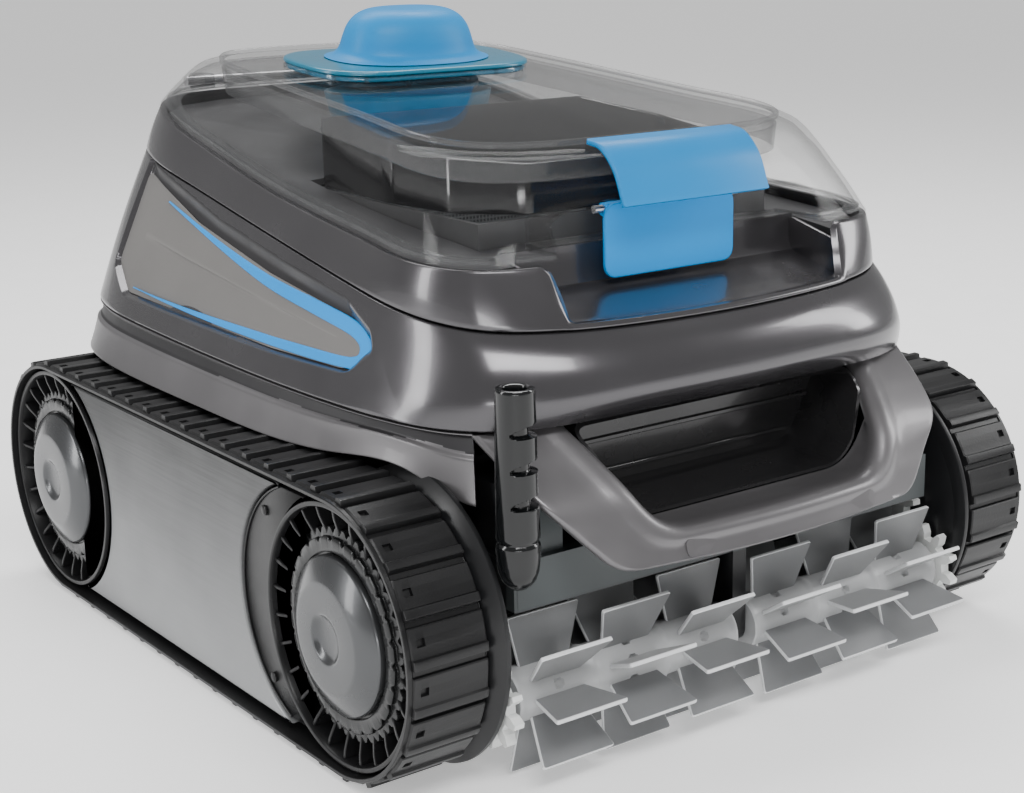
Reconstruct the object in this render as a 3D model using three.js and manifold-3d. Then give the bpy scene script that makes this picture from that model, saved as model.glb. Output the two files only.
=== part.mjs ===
// Tracked pool cleaner: a tub with pump, filter and drive inside, two rubber tracks, a twin brush at the
// front, and a clear lid with a latch on top.
// Millimetres, +Z up, front towards -Y, left side at -X. The origin lies on the ground at the middle of
// the whole cleaner's box. Lengths along Y are written from the middle of the wheel base.
import * as THREE from 'three';
import { mergeVertices } from 'three/addons/utils/BufferGeometryUtils.js';
import Module from 'manifold-3d';

const wasm = await Module();
wasm.setup();

// ---- Driving dimensions ----
const WHEEL_BASE = 291; // between the front and rear wheel axes
const BASE_TO_BOX_MIDDLE = 11.25; // the box's middle lies this far in front of the wheel base's middle
const LUG_TIP_RADIUS = 64.7; // ground to wheel axis
const BELT_RADIUS = 62.3; // outer face of a belt between its lugs
const BELT_INNER_RADIUS = 60.1;
const LUG_COUNT = 48;
const TRACK_OUTER_X = 185.5;
const TRACK_WIDTH = 38.2;
const WHEEL_RADIUS = 59;
const HUB_CAP_RADIUS = 35.4;
const WALL = 3; // moulded shells
const FIT = 0.3; // gap between pieces that touch
const TUB_HALF_WIDTH = 125;
const GEAR_IN_X = 131.5; // inner face of the brush drive gears
const GEAR_WIDTH = 5;
const WHEEL_GEAR_TEETH = 20;
const BRUSH_GEAR_TEETH = 10;
const GEAR_MODULE = 3.5;
const BRUSH_AXIS = { y: -190.1, z: 37.1 };
const BRUSH_RADIUS = 35.4;
const PUMP_Y = 73; // pump shaft, outlet and hood
const LID_SLOPE = 0.084; // rise of the lid's top towards the rear
const LID_TOP_Z = 271; // lid's top above the middle of the wheel base
const HINGE = { y: 184, z: 267 };
const LATCH_PIVOT = { y: -145.1, z: 231.5 };
const RING_STEPS = 38; // points around a body section

const FRONT_WHEEL_Y = -WHEEL_BASE / 2;
const REAR_WHEEL_Y = WHEEL_BASE / 2;
const AXLE_Z = LUG_TIP_RADIUS;
const TRACK_INNER_X = TRACK_OUTER_X - TRACK_WIDTH;
const SIDES = { left: -1, right: 1 };

// ---- Finishes ----
const finish = (color, roughness, metalness = 0, opacity = 1) =>
  new THREE.MeshStandardMaterial({ color, roughness, metalness, opacity, transparent: opacity < 1 });
const FINISH = {
  gunmetal: finish(0x5f5d60, 0.28, 0.55),
  satinGrey: finish(0x787779, 0.42, 0.35),
  matteGrey: finish(0x747372, 0.6, 0.1),
  blackPlastic: finish(0x17181a, 0.42),
  glossBlack: finish(0x0c0d0e, 0.15),
  rubber: finish(0x1d1e20, 0.55),
  blue: finish(0x1c8fd0, 0.3),
  clear: finish(0xdfe4e6, 0.05, 0, 0.3),
  blade: finish(0xa9abad, 0.45),
  silver: finish(0x8b8d90, 0.3, 0.6),
  screen: finish(0xc9cccd, 0.8),
  steel: finish(0xa5a8ab, 0.3, 0.9),
};

// ---- Making solids ----
// Merges the vertices, drops flat triangles and turns an inside-out mesh round.
function tidy(geometry) {
  const bare = new THREE.BufferGeometry();
  bare.setAttribute('position', geometry.getAttribute('position').clone());
  if (geometry.index) bare.setIndex(geometry.index.clone());
  const merged = mergeVertices(bare, 1e-3);
  const at = merged.getAttribute('position');
  const corner = (i) => new THREE.Vector3().fromBufferAttribute(at, i);
  const kept = [];
  let volume = 0;
  for (let i = 0; i < merged.index.count; i += 3) {
    const [a, b, c] = [0, 1, 2].map((k) => merged.index.getX(i + k));
    if (a === b || b === c || c === a) continue;
    volume += corner(a).dot(corner(b).cross(corner(c)));
    kept.push(a, b, c);
  }
  if (volume < 0) kept.reverse();
  merged.setIndex(kept);
  return merged;
}

function solidOf(geometry) {
  const closed = tidy(geometry);
  const mesh = { numProp: 3, vertProperties: closed.getAttribute('position').array };
  return new wasm.Manifold(new wasm.Mesh({ ...mesh, triVerts: new Uint32Array(closed.index.array) }));
}

function geometryOf(solid) {
  const mesh = solid.getMesh();
  const geometry = new THREE.BufferGeometry();
  geometry.setAttribute('position', new THREE.BufferAttribute(mesh.vertProperties, 3));
  geometry.setIndex(new THREE.BufferAttribute(mesh.triVerts, 1));
  return geometry;
}

const fold = (operation, base, pieces) =>
  geometryOf(pieces.reduce((solid, piece) => solid[operation](solidOf(piece)), solidOf(base)));
const join = (base, ...pieces) => fold('add', base, pieces);
const cut = (base, ...pieces) => fold('subtract', base, pieces);
const overlap = (base, ...pieces) => fold('intersect', base, pieces);
const mirrorX = (geometry) => tidy(tidy(geometry).clone().scale(-1, 1, 1));
const onSide = (geometry, side) => (side < 0 ? mirrorX(geometry) : geometry);

function box([x0, x1], [y0, y1], [z0, z1]) {
  const block = new THREE.BoxGeometry(x1 - x0, y1 - y0, z1 - z0);
  return block.translate((x0 + x1) / 2, (y0 + y1) / 2, (z0 + z1) / 2);
}

// An outline carried along one axis. Its two numbers per point are (y, z) for x, (x, z) for y, (x, y) for z.
function prism(outline, axis, from, to, holes = []) {
  const asPath = (points, Kind) => new Kind(points.map(([u, v]) => new THREE.Vector2(u, v)));
  const shape = asPath(outline, THREE.Shape);
  shape.holes = holes.map((hole) => asPath(hole, THREE.Path));
  const solid = new THREE.ExtrudeGeometry(shape, { depth: to - from, bevelEnabled: false, steps: 1 });
  const u = new THREE.Vector3(axis === 'x' ? 0 : 1, axis === 'x' ? 1 : 0, 0);
  const v = new THREE.Vector3(0, axis === 'z' ? 1 : 0, axis === 'z' ? 0 : 1);
  solid.applyMatrix4(new THREE.Matrix4().makeBasis(u, v, u.clone().cross(v)));
  const start = { x: [from, 0, 0], y: [0, to, 0], z: [0, 0, from] }[axis];
  return solid.translate(...start);
}

// A closed profile of (radius, height) points turned about an axis through a place.
function turned(profile, axis, place = [0, 0, 0], segments = 32) {
  const lathe = new THREE.LatheGeometry(profile.map(([r, h]) => new THREE.Vector2(r, h)), segments);
  if (axis === 'x') lathe.rotateZ(-Math.PI / 2);
  if (axis === 'z') lathe.rotateX(Math.PI / 2);
  return lathe.translate(...place);
}

const rodProfile = (radius, from, to) => [[0, from], [radius, from], [radius, to], [0, to]];
const sleeveProfile = (bore, radius, from, to) =>
  [[bore, from], [radius, from], [radius, to], [bore, to], [bore, from]];

function circle(radius, [u, v] = [0, 0], steps = 16) {
  const turn = (i) => (2 * Math.PI * i) / steps;
  return Array.from({ length: steps }, (_, i) => [u + radius * Math.cos(turn(i)), v + radius * Math.sin(turn(i))]);
}

// An outline with straight sides whose corners are rounded by a quadratic curve.
function rounded(corners, radius, steps = 4) {
  const at = corners.map(([u, v]) => new THREE.Vector2(u, v));
  return at.flatMap((corner, i) => {
    const towards = (other) => corner.clone().add(other.clone().sub(corner).setLength(radius));
    const before = towards(at[(i + at.length - 1) % at.length]);
    const after = towards(at[(i + 1) % at.length]);
    const curve = new THREE.QuadraticBezierCurve(before, corner, after);
    return curve.getPoints(steps).map((p) => [p.x, p.y]);
  });
}

// Skin between rings of equal length: closed at its two ends, or looped from the last ring to the first.
function skin(rings, looped) {
  const count = rings[0].length;
  const positions = rings.flat().flatMap((p) => [p.x, p.y, p.z]);
  const faces = [];
  const spans = looped ? rings.length : rings.length - 1;
  for (let i = 0; i < spans; i += 1) {
    for (let j = 0; j < count; j += 1) {
      const [a, b] = [i * count + j, i * count + ((j + 1) % count)];
      const [c, d] = [((i + 1) % rings.length) * count + j, ((i + 1) % rings.length) * count + ((j + 1) % count)];
      faces.push(a, b, d, a, d, c);
    }
  }
  const fan = (ring, first, flip) => {
    const middle = ring.reduce((sum, p) => sum.add(p), new THREE.Vector3()).divideScalar(count);
    const hub = positions.length / 3;
    positions.push(middle.x, middle.y, middle.z);
    for (let j = 0; j < count; j += 1) {
      const [a, b] = [first + j, first + ((j + 1) % count)];
      faces.push(...(flip ? [b, a, hub] : [a, b, hub]));
    }
  };
  if (!looped) {
    fan(rings[0], 0, true);
    fan(rings.at(-1), (rings.length - 1) * count, false);
  }
  const geometry = new THREE.BufferGeometry();
  geometry.setAttribute('position', new THREE.Float32BufferAttribute(positions, 3));
  geometry.setIndex(faces);
  return tidy(geometry);
}

// A plate between two equal grids of points, closed along its four edges.
function slab(near, far) {
  const [rows, columns] = [near.length, near[0].length];
  const at = (layer, i, j) => layer * rows * columns + i * columns + j;
  const faces = [];
  const quad = (a, b, c, d) => faces.push(a, b, c, a, c, d);
  for (let i = 0; i < rows - 1; i += 1) {
    for (let j = 0; j < columns - 1; j += 1) {
      quad(at(0, i, j), at(0, i, j + 1), at(0, i + 1, j + 1), at(0, i + 1, j));
      quad(at(1, i, j), at(1, i + 1, j), at(1, i + 1, j + 1), at(1, i, j + 1));
    }
    quad(at(0, i, 0), at(0, i + 1, 0), at(1, i + 1, 0), at(1, i, 0));
    quad(at(0, i + 1, columns - 1), at(0, i, columns - 1), at(1, i, columns - 1), at(1, i + 1, columns - 1));
  }
  for (let j = 0; j < columns - 1; j += 1) {
    quad(at(0, 0, j + 1), at(0, 0, j), at(1, 0, j), at(1, 0, j + 1));
    quad(at(0, rows - 1, j), at(0, rows - 1, j + 1), at(1, rows - 1, j + 1), at(1, rows - 1, j));
  }
  const geometry = new THREE.BufferGeometry();
  const positions = [...near, ...far].flat().flatMap((p) => [p.x, p.y, p.z]);
  geometry.setAttribute('position', new THREE.Float32BufferAttribute(positions, 3));
  geometry.setIndex(faces);
  return tidy(geometry);
}

// ---- Body sections ----
// A section is the right half of a ring from front centre to rear centre, as (x, y) points, with its
// height as a function of y. The left half mirrors it.
function section(half, height) {
  const right = half.map(([x, y]) => new THREE.Vector3(x, y, height(y)));
  const left = right.slice(1, -1).reverse().map((p) => new THREE.Vector3(-p.x, p.y, p.z));
  const curve = new THREE.CatmullRomCurve3([...right, ...left], true, 'centripetal');
  return curve.getPoints(RING_STEPS).slice(0, RING_STEPS);
}

// Moves a ring inwards by a distance, square to its outline as seen from above.
function inset(ring, distance, drop = 0) {
  return ring.map((p, i) => {
    const along = ring[(i + 1) % ring.length].clone().sub(ring[(i + ring.length - 1) % ring.length]);
    const inward = new THREE.Vector3(-along.y, along.x, 0).normalize();
    return p.clone().addScaledVector(inward, distance).add(new THREE.Vector3(0, 0, -drop));
  });
}

const lift = (ring, rise) => ring.map((p) => p.clone().add(new THREE.Vector3(0, 0, rise)));
const blend = (low, high, t) => low.map((p, i) => p.clone().lerp(high[i], t));
const shell = (rings, from, to) =>
  skin([...rings.map((r) => inset(r, from)), ...rings.toReversed().map((r) => inset(r, to))], true);

// Pushes the front of a ring forwards, most at its middle.
const bulge = (ring, reach) =>
  ring.map((p) => {
    const share = THREE.MathUtils.smoothstep(-p.y, 120, 175) * Math.max(0, 1 - (p.x / 150) ** 2);
    return p.clone().add(new THREE.Vector3(0, -reach * share, 0));
  });

const SKIRT_EDGE = section(
  [[0, -192], [60, -191], [104, -187], [131, -173], [145, -147], [155, -104], [166.5, 0], [165.5, 95],
    [158, 148], [140, 182], [72, 194], [0, 195]],
  (y) => 131 - 14 * THREE.MathUtils.smoothstep(-y, 150, 180),
);
const CREASE = section(
  [[0, -190], [60, -189], [103, -185], [130, -170], [144, -143], [152, -100], [157, 0], [156, 95],
    [150, 148], [133, 181], [70, 191], [0, 192]],
  (y) => 153.5 + 0.02 * y,
);
const CASING_TOP = section(
  [[0, -187], [50, -184.5], [94, -176], [119, -162], [131.5, -138], [134.5, -95], [130, 0], [124.5, 95],
    [119, 143], [104, 173], [58, 184], [0, 187]],
  (y) => 213 + 0.138 * y,
);
const LID_EDGE = section(
  [[0, -173], [50, -172], [91, -168], [116, -159], [127.5, -140], [127.5, -95], [122, 5], [116, 95],
    [111, 141], [98, 165], [55, 175], [0, 176]],
  (y) => 229.7 + 0.1376 * y + 0.000316 * y * y,
);
const LID_TOP = section(
  [[0, -142], [40, -142], [74, -138], [99, -124], [110, -98], [108, -60], [104, 0], [98, 90],
    [93, 122], [78, 145], [40, 154], [0, 154]],
  (y) => LID_TOP_Z + LID_SLOPE * y,
);
const CASING_RINGS = [
  lift(CREASE, FIT),
  bulge(blend(CREASE, CASING_TOP, 0.3), 12),
  bulge(blend(CREASE, CASING_TOP, 0.72), 10),
  CASING_TOP,
];

const cleaner = new THREE.Group();
cleaner.position.y = BASE_TO_BOX_MIDDLE;

function add(name, geometry, material, parent = cleaner) {
  const mesh = new THREE.Mesh(tidy(geometry), material);
  mesh.name = name;
  parent.add(mesh);
  return mesh;
}

// ---- Tub: floor, walls, flange under the skirt, and the nose that carries the brush ----
const TUB = { front: -150, rear: 182, floor: 24, rim: 131 };
const INLET = { x: 62, front: -122, rear: -92 };
const NOSE = { front: -196, under: 76, top: 98, cornerX: 97 };

function chassisTub() {
  const outer = box([-TUB_HALF_WIDTH, TUB_HALF_WIDTH], [TUB.front, TUB.rear], [TUB.floor, TUB.rim + WALL]);
  const inside = box(
    [-TUB_HALF_WIDTH + WALL, TUB_HALF_WIDTH - WALL],
    [TUB.front + WALL, TUB.rear - WALL],
    [TUB.floor + WALL, 200],
  );
  const behindPanel = lift(blend(inset(SKIRT_EDGE, WALL + 1.2), inset(CREASE, WALL + 1.2), 0.1), 0);
  const flat = (z) => behindPanel.map((p) => new THREE.Vector3(p.x, Math.max(p.y, -156), z));
  const flange = skin([flat(TUB.rim + FIT), flat(TUB.rim + WALL)], false);
  const nose = box([-TUB_HALF_WIDTH, TUB_HALF_WIDTH], [NOSE.front, TUB.front + 1], [NOSE.under, NOSE.top]);
  const shoulders = [-1, 1].map((side) =>
    onSide(box([NOSE.cornerX, TUB_HALF_WIDTH - 3], [NOSE.front + 4, TUB.front + 1], [NOSE.top - 1, 128]), side),
  );
  const hanger = join(
    box([-4, 4], [BRUSH_AXIS.y - 7, BRUSH_AXIS.y + 7], [BRUSH_AXIS.z, NOSE.under + 1]),
    turned(rodProfile(7, -4, 4), 'x', [0, BRUSH_AXIS.y, BRUSH_AXIS.z]),
  );
  const body = join(outer, flange, nose, ...shoulders, hanger);
  const inlet = box([-INLET.x, INLET.x], [INLET.front, INLET.rear], [0, TUB.floor + WALL + 1]);
  const shaftHole = turned(rodProfile(11, -200, 200), 'x', [0, REAR_WHEEL_Y, AXLE_Z], 16);
  const stubHoles = turned(rodProfile(4.5, -9, 9), 'x', [0, BRUSH_AXIS.y, BRUSH_AXIS.z], 20);
  const relief = turned(rodProfile(12, NOSE.under - 1, 180), 'z', [RELIEF.x, RELIEF.y, 0], 24);
  return cut(body, inside, inlet, shaftHole, stubHoles, relief);
}

// ---- Shells around the tub ----
const PANEL_ROWS = [ // height, half width, and how far forward at the middle and at the edge
  { z: 148.8, half: 128, middle: -190, edge: -173 },
  { z: 136, half: 124, middle: -203, edge: -192 },
  { z: 124, half: 119, middle: -214, edge: -207 },
  { z: 108, half: 104, middle: -225, edge: -215 },
  { z: 92, half: 89, middle: -232, edge: -222 },
];
const SLOT = rounded([[-88, 153], [-65.5, 106], [65.5, 106], [88, 153]], 14);
const SLOT_DEPTH = { lip: -199, back: -161 };
const RELIEF = { x: -130, y: -206 };

// A curved plate over the panel's rows, between two distances behind its face.
function panelPlate(rows, near, far, width = 1, columns = 14) {
  const face = (back) => (row) =>
    Array.from({ length: columns + 1 }, (_, i) => (2 * i) / columns - 1).map((s) => {
      const y = row.middle + (row.edge - row.middle) * s * s * width * width;
      return new THREE.Vector3(s * row.half * width, y + back, row.z);
    });
  return slab(rows.map(face(near)), rows.map(face(far)));
}

function frontPanel() {
  const plate = panelPlate(PANEL_ROWS, 0, WALL);
  const grown = rounded([[-92, 148.8], [-68.5, 102.5], [68.5, 102.5], [92, 148.8]], 15);
  const lip = overlap(prism(grown, 'y', -240, SLOT_DEPTH.lip), panelPlate(PANEL_ROWS, 0, 60));
  return cut(join(plate, lip), prism(SLOT, 'y', -250, -100));
}

function slotLiner() {
  const outside = rounded([[-89, 148.6], [-68, 103.5], [68, 103.5], [89, 148.6]], 15);
  const inside = rounded([[-86, 146.1], [-65.5, 106], [65.5, 106], [86, 146.1]], 13);
  const block = prism(outside, 'y', SLOT_DEPTH.lip + FIT, SLOT_DEPTH.back);
  const hollow = prism(inside, 'y', SLOT_DEPTH.lip - 1, SLOT_DEPTH.back - 2.5);
  return cut(block, hollow, panelPlate(PANEL_ROWS, -40, WALL + FIT));
}

function lowerSkirt() {
  const band = shell([SKIRT_EDGE, CREASE], 0, WALL);
  return cut(band, box([-129.5, 129.5], [-240, -150], [100, 170]), box([-143, -115], [-240, -190], [90, 190]));
}

// Outlines on the casing's side as (y, z): the sunk cover and its tapering V-shaped stripe.
const COVER = rounded([[143, 236], [142.5, 176], [118, 165.5], [-39, 164], [-104, 165], [-119, 176],
  [-113, 186], [-88, 196], [-33, 203], [45, 214], [130, 231]], 5, 2);
const STRIPE = [[103, 215], [36, 202.6], [-17, 195], [-63, 191.2], [-96, 187.6], [-111, 182], [-116, 176.5],
  [-115, 170], [-109, 166.5], [-97, 165.8], [-39, 165.8], [33, 167], [112, 170], [33, 170], [-35, 170.5],
  [-87, 170.7], [-103, 171.7], [-107, 175.2], [-104, 179], [-90, 182], [-45, 186.5], [36, 199.5]];
const WINDOW = { from: 80, to: 220 }; // span across X that the side cuts work over

const upperCasing = () =>
  cut(
    shell(CASING_RINGS, 0, WALL),
    prism(COVER, 'x', WINDOW.from, WINDOW.to),
    prism(COVER, 'x', -WINDOW.to, -WINDOW.from),
  );

const coverOutline = COVER.map(([y, z]) => [15 + (y - 15) * 0.996, 198 + (z - 198) * 0.985]);
const coverBlock = prism(coverOutline, 'x', WINDOW.from, WINDOW.to);
const sideCover = () => overlap(shell(CASING_RINGS, 1.6, 4), coverBlock);
const sideStripe = () =>
  overlap(shell(CASING_RINGS, 0.5, 1.3), prism(STRIPE, 'x', WINDOW.from, WINDOW.to), coverBlock);

// The pocket for the fingers lies under the latch: a scoop through the shoulder ring's front.
const POCKET = { half: 88, mouth: -176, back: -136.5, front: { z: 190 }, rear: { z: 199 }, top: 216 };
const NICHE = { half: 78, back: -140, top: 236, wall: 2.5 };

function shoulderRing() {
  const base = lift(CASING_TOP, FIT);
  const rim = lift(LID_EDGE, -FIT);
  const band = shell([base, rim], 0, WALL);
  const knuckles = [-1, 1].map((side) =>
    onSide(cut(
      box([52, 64], [179, HINGE.y + 6], [HINGE.z - 17, HINGE.z + 6]),
      turned(rodProfile(3.4, 40, 80), 'x', [0, HINGE.y, HINGE.z], 16),
    ), side),
  );
  return cut(join(band, ...knuckles), box([-POCKET.half, POCKET.half], [-220, -120], [180, 240]));
}

// The scoop's floor rises towards the rear and ends in a low wall under the lid's niche.
function latchPocket() {
  const { half, mouth, back, front, rear, top } = POCKET;
  const floor = [[mouth - 9, front.z - 2], [mouth, front.z], [back, rear.z], [back, top], [back + 2.5, top],
    [back + 2.5, rear.z - 3], [mouth + 3, front.z - 3], [mouth - 5, front.z - 4.5]];
  const cheek = [[mouth, front.z - 1], [mouth + 4, 206], [back, top - 2], [back + 1, rear.z - 2]];
  const width = half - FIT;
  const cheeks = [-1, 1].map((side) => onSide(prism(cheek, 'x', width - 2.5, width), side));
  const inside = skin([lift(inset(CASING_TOP, 0.6), 1.2), lift(inset(LID_EDGE, 0.6), -0.6)], false);
  return overlap(join(prism(floor, 'x', -width, width), ...cheeks), inside);
}

// ---- Inside the body ----
const BASKET = { x: 86, front: -118, rear: 27, floor: 120, top: 226 };

function innerDeck() {
  const edge = inset(LID_EDGE, WALL + 1);
  const plate = skin([lift(edge, -9), lift(edge, -6)], false);
  const well = box([-BASKET.x - 1, BASKET.x + 1], [BASKET.front - 1, BASKET.rear + 1], [150, 300]);
  const ductHole = turned(rodProfile(48, 150, 300), 'z', [0, PUMP_Y, 0], 24);
  return cut(plate, well, ductHole, box([-92, 92], [-200, POCKET.back + 4], [150, 300]));
}

function filterBasket() {
  const { x, front, rear, floor, top } = BASKET;
  const outer = box([-x, x], [front, rear], [floor, top]);
  const inside = box([-x + 2.5, x - 2.5], [front + 2.5, rear - 2.5], [floor + 2.5, top + 1]);
  const windowZ = [floor + 12, top - 12];
  const across = [-58, -2, 54].map((at) => box([at - 24, at + 24], [front - 5, rear + 5], windowZ));
  const along = [-80, -12].map((at) => box([-x - 5, x + 5], [at - 30, at + 30], windowZ));
  return cut(outer, inside, ...across, ...along, box([-40, 40], [-100, -60], [floor - 1, floor + 5]));
}

function filterScreen() {
  const grow = (by) => [[-BASKET.x + by, BASKET.x - by], [BASKET.front + by, BASKET.rear - by]];
  const height = [BASKET.floor + 2.8, BASKET.top - 1];
  return cut(box(...grow(2.8), height), box(...grow(3.8), [BASKET.floor, BASKET.top + 1]));
}

// The basket's lid frame follows the clear lid's outline, slopes with it and carries a carrying bar.
function filterCover() {
  const { x, rear, top } = BASKET;
  const half = [[x - 4, rear], [x, -42], [x - 6, -88], [x - 30, -114]];
  const outline = [...half, ...half.map(([px, py]) => [-px, py]).reverse()];
  const wall = 6;
  const scale = (x - wall) / x;
  const hole = outline.map(([px, py]) => [px * scale, (py - PUMP_Y / 2) * scale + PUMP_Y / 2 - 5]);
  const slope = prism([[-130, top + FIT], [rear + 1, top + FIT], [rear + 1, 262], [-130, 249]], 'x', -x, x);
  const frame = cut(prism(outline, 'z', top, 270), prism(hole, 'z', top - 1, 280));
  const bar = box([-x + 3, x - 3], [-48, -36], [top + 4, top + 12]);
  return join(overlap(frame, slope), bar);
}

const PUMP = { radius: 40, foot: TUB.floor + WALL + FIT, top: 196 };
const motorBlock = () =>
  cut(
    join(
      turned(rodProfile(PUMP.radius, PUMP.foot, PUMP.top), 'z', [0, PUMP_Y, 0], 24),
      box([-70, 70], [PUMP_Y + 25, REAR_WHEEL_Y + 28], [PUMP.foot, 94]),
    ),
    turned(rodProfile(4.5, 180, 210), 'z', [0, PUMP_Y, 0], 20),
  );

// Flow duct: a funnel that stands on the motor block's rim and opens under the lid.
const flowDuct = () =>
  turned(
    [[36, 214], [38.5, 214], [38.5, 238], [45, 266], [42.6, 266.5], [36, 239], [36, 214]],
    'z', [0, PUMP_Y, 0], 24,
  );
const ductLegs = () =>
  [45, 135, 225, 315].map((angle) =>
    box([35, 39], [-4, 4], [PUMP.top + FIT, 216]).rotateZ(THREE.MathUtils.degToRad(angle)).translate(0, PUMP_Y, 0),
  );

function propeller() {
  const hub = turned(rodProfile(9, 216, 236), 'z', [0, 0, 0], 20);
  const blades = [0, 120, 240].map((angle) => {
    const blade = box([6, 32], [-9, 9], [-1, 1]).rotateX(0.5).translate(0, 0, 226);
    return blade.rotateZ(THREE.MathUtils.degToRad(angle));
  });
  const bore = turned(rodProfile(4.3, 210, 230), 'z', [0, 0, 0], 20);
  return cut(join(hub, ...blades), bore).translate(0, PUMP_Y, 0);
}

// ---- Tracks ----
// A point on a loop round both wheels, at a distance along its belt line and a height above it.
function loopPoint(distance, height) {
  const arc = Math.PI * BELT_RADIUS;
  const total = 2 * (WHEEL_BASE + arc);
  const s = ((distance % total) + total) % total;
  const radius = BELT_RADIUS + height;
  if (s < WHEEL_BASE) return [REAR_WHEEL_Y - s, AXLE_Z + radius];
  if (s < WHEEL_BASE + arc) {
    const turn = Math.PI / 2 + (s - WHEEL_BASE) / BELT_RADIUS;
    return [FRONT_WHEEL_Y + radius * Math.cos(turn), AXLE_Z + radius * Math.sin(turn)];
  }
  if (s < 2 * WHEEL_BASE + arc) return [FRONT_WHEEL_Y + s - WHEEL_BASE - arc, AXLE_Z - radius];
  const turn = -Math.PI / 2 + (s - 2 * WHEEL_BASE - arc) / BELT_RADIUS;
  return [REAR_WHEEL_Y + radius * Math.cos(turn), AXLE_Z + radius * Math.sin(turn)];
}

function stadium(radius, steps = 14) {
  const arc = (y, from) =>
    Array.from({ length: steps + 1 }, (_, i) => {
      const turn = from + (Math.PI * i) / steps;
      return [y + radius * Math.cos(turn), AXLE_Z + radius * Math.sin(turn)];
    });
  return [...arc(FRONT_WHEEL_Y, Math.PI / 2), ...arc(REAR_WHEEL_Y, -Math.PI / 2)];
}

function trackBelt() {
  const pitch = (2 * (WHEEL_BASE + Math.PI * BELT_RADIUS)) / LUG_COUNT;
  const lugHeight = LUG_TIP_RADIUS - BELT_RADIUS;
  const lug = [[-4.4, 0], [-3.2, lugHeight], [3.2, lugHeight], [4.4, 0]];
  const outline = Array.from({ length: LUG_COUNT }, (_, i) => i).flatMap((i) =>
    lug.map(([along, height]) => loopPoint((i + 0.5) * pitch + along, height)),
  );
  return prism(outline, 'x', TRACK_INNER_X, TRACK_OUTER_X, [stadium(BELT_INNER_RADIUS)]);
}

// Inner guard: closes the track's loop towards the body and carries the brush's outer end.
function trackGuard() {
  const hole = (radius, y, z) => circle(radius, [y, z]);
  const holes = [
    hole(17, FRONT_WHEEL_Y, AXLE_Z),
    hole(17, REAR_WHEEL_Y, AXLE_Z),
  ];
  const plate = prism(stadium(59.5, 10), 'x', 139, 146.6, holes);
  const collar = turned(
    [[56, 139], [66.5, 138], [66.5, 141], [60, 146.6], [56, 146.6], [56, 139]],
    'x', [0, FRONT_WHEEL_Y, AXLE_Z], 20,
  );
  const clear = box([130, 150], [-400, 400], [-20, 0.8]);
  const behind = box([136, 150], [-400, 400], [AXLE_Z + 58, 200]);
  const bushHole = turned(rodProfile(8.3, 130, 150), 'x', [0, BRUSH_AXIS.y, BRUSH_AXIS.z], 16);
  return cut(join(plate, collar), clear, behind, bushHole);
}

const PLATE_ARC = { y: -117, radius: 58 }; // rear edge of the dark guard behind the front wheel

function sideOutline(frontArc, rearArc, inner) {
  const arc = (centre, radius, high, steps = 10) => {
    const reach = Math.asin(Math.min(1, high / radius));
    return Array.from({ length: steps + 1 }, (_, i) => {
      const turn = -reach + (2 * reach * i) / steps;
      return [centre + radius * Math.cos(turn), AXLE_Z + radius * Math.sin(turn)];
    });
  };
  const front = arc(frontArc.y, frontArc.radius, inner);
  const rear = arc(rearArc.y, rearArc.radius, inner).map(([y, z]) => [2 * rearArc.y - y, z]);
  return [...front.toReversed(), ...rear];
}

function sidePlate() {
  const face = sideOutline({ y: PLATE_ARC.y, radius: PLATE_ARC.radius + 1.2 }, { y: REAR_WHEEL_Y, radius: 60.5 }, 56.5);
  const posts = [[-42, 100], [45, 100], [-20, 30], [60, 30]].map(([y, z]) =>
    turned(rodProfile(5, TRACK_INNER_X - 0.3, 177), 'x', [0, y, z], 14),
  );
  return join(prism(face, 'x', 176, 181), ...posts);
}

function crescentGuard() {
  const outline = circle(PLATE_ARC.radius, [PLATE_ARC.y, AXLE_Z], 30);
  const wheelRoom = turned(rodProfile(60.6, 160, 190), 'x', [0, FRONT_WHEEL_Y, AXLE_Z], 30);
  const post = turned(rodProfile(4, TRACK_INNER_X - 0.3, 174), 'x', [0, -73, AXLE_Z], 12);
  return join(cut(prism(outline, 'x', 172, 180), wheelRoom), post);
}

// ---- Wheels: a rim, a sunk face, a stepped disc and a long hub; x counts from the cleaner's middle ----
const OUT = (depth) => TRACK_OUTER_X - depth; // depth behind the track's outer face
const AXLE_RADIUS = 6;

function wheel() {
  const hubEnd = GEAR_IN_X + GEAR_WIDTH + FIT;
  const profile = [
    [AXLE_RADIUS + FIT, OUT(7)], [46, OUT(7)], [46, OUT(12)], [56, OUT(12)], [56, OUT(2.6)],
    [WHEEL_RADIUS, OUT(2.6)], [WHEEL_RADIUS, OUT(37.5)], [56, OUT(37.5)], [56, OUT(16)], [15, OUT(16)],
    [15, hubEnd], [AXLE_RADIUS + FIT, hubEnd], [AXLE_RADIUS + FIT, OUT(7)],
  ];
  return turned(profile, 'x', [0, 0, 0], 20);
}

const hubCap = () =>
  turned(
    [[0, OUT(6.7)], [HUB_CAP_RADIUS, OUT(6.7)], [HUB_CAP_RADIUS, OUT(1)], [24, OUT(-2)], [10.5, OUT(-2)],
      [0, OUT(2.2)]],
    'x', [0, 0, 0], 22,
  );

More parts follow.
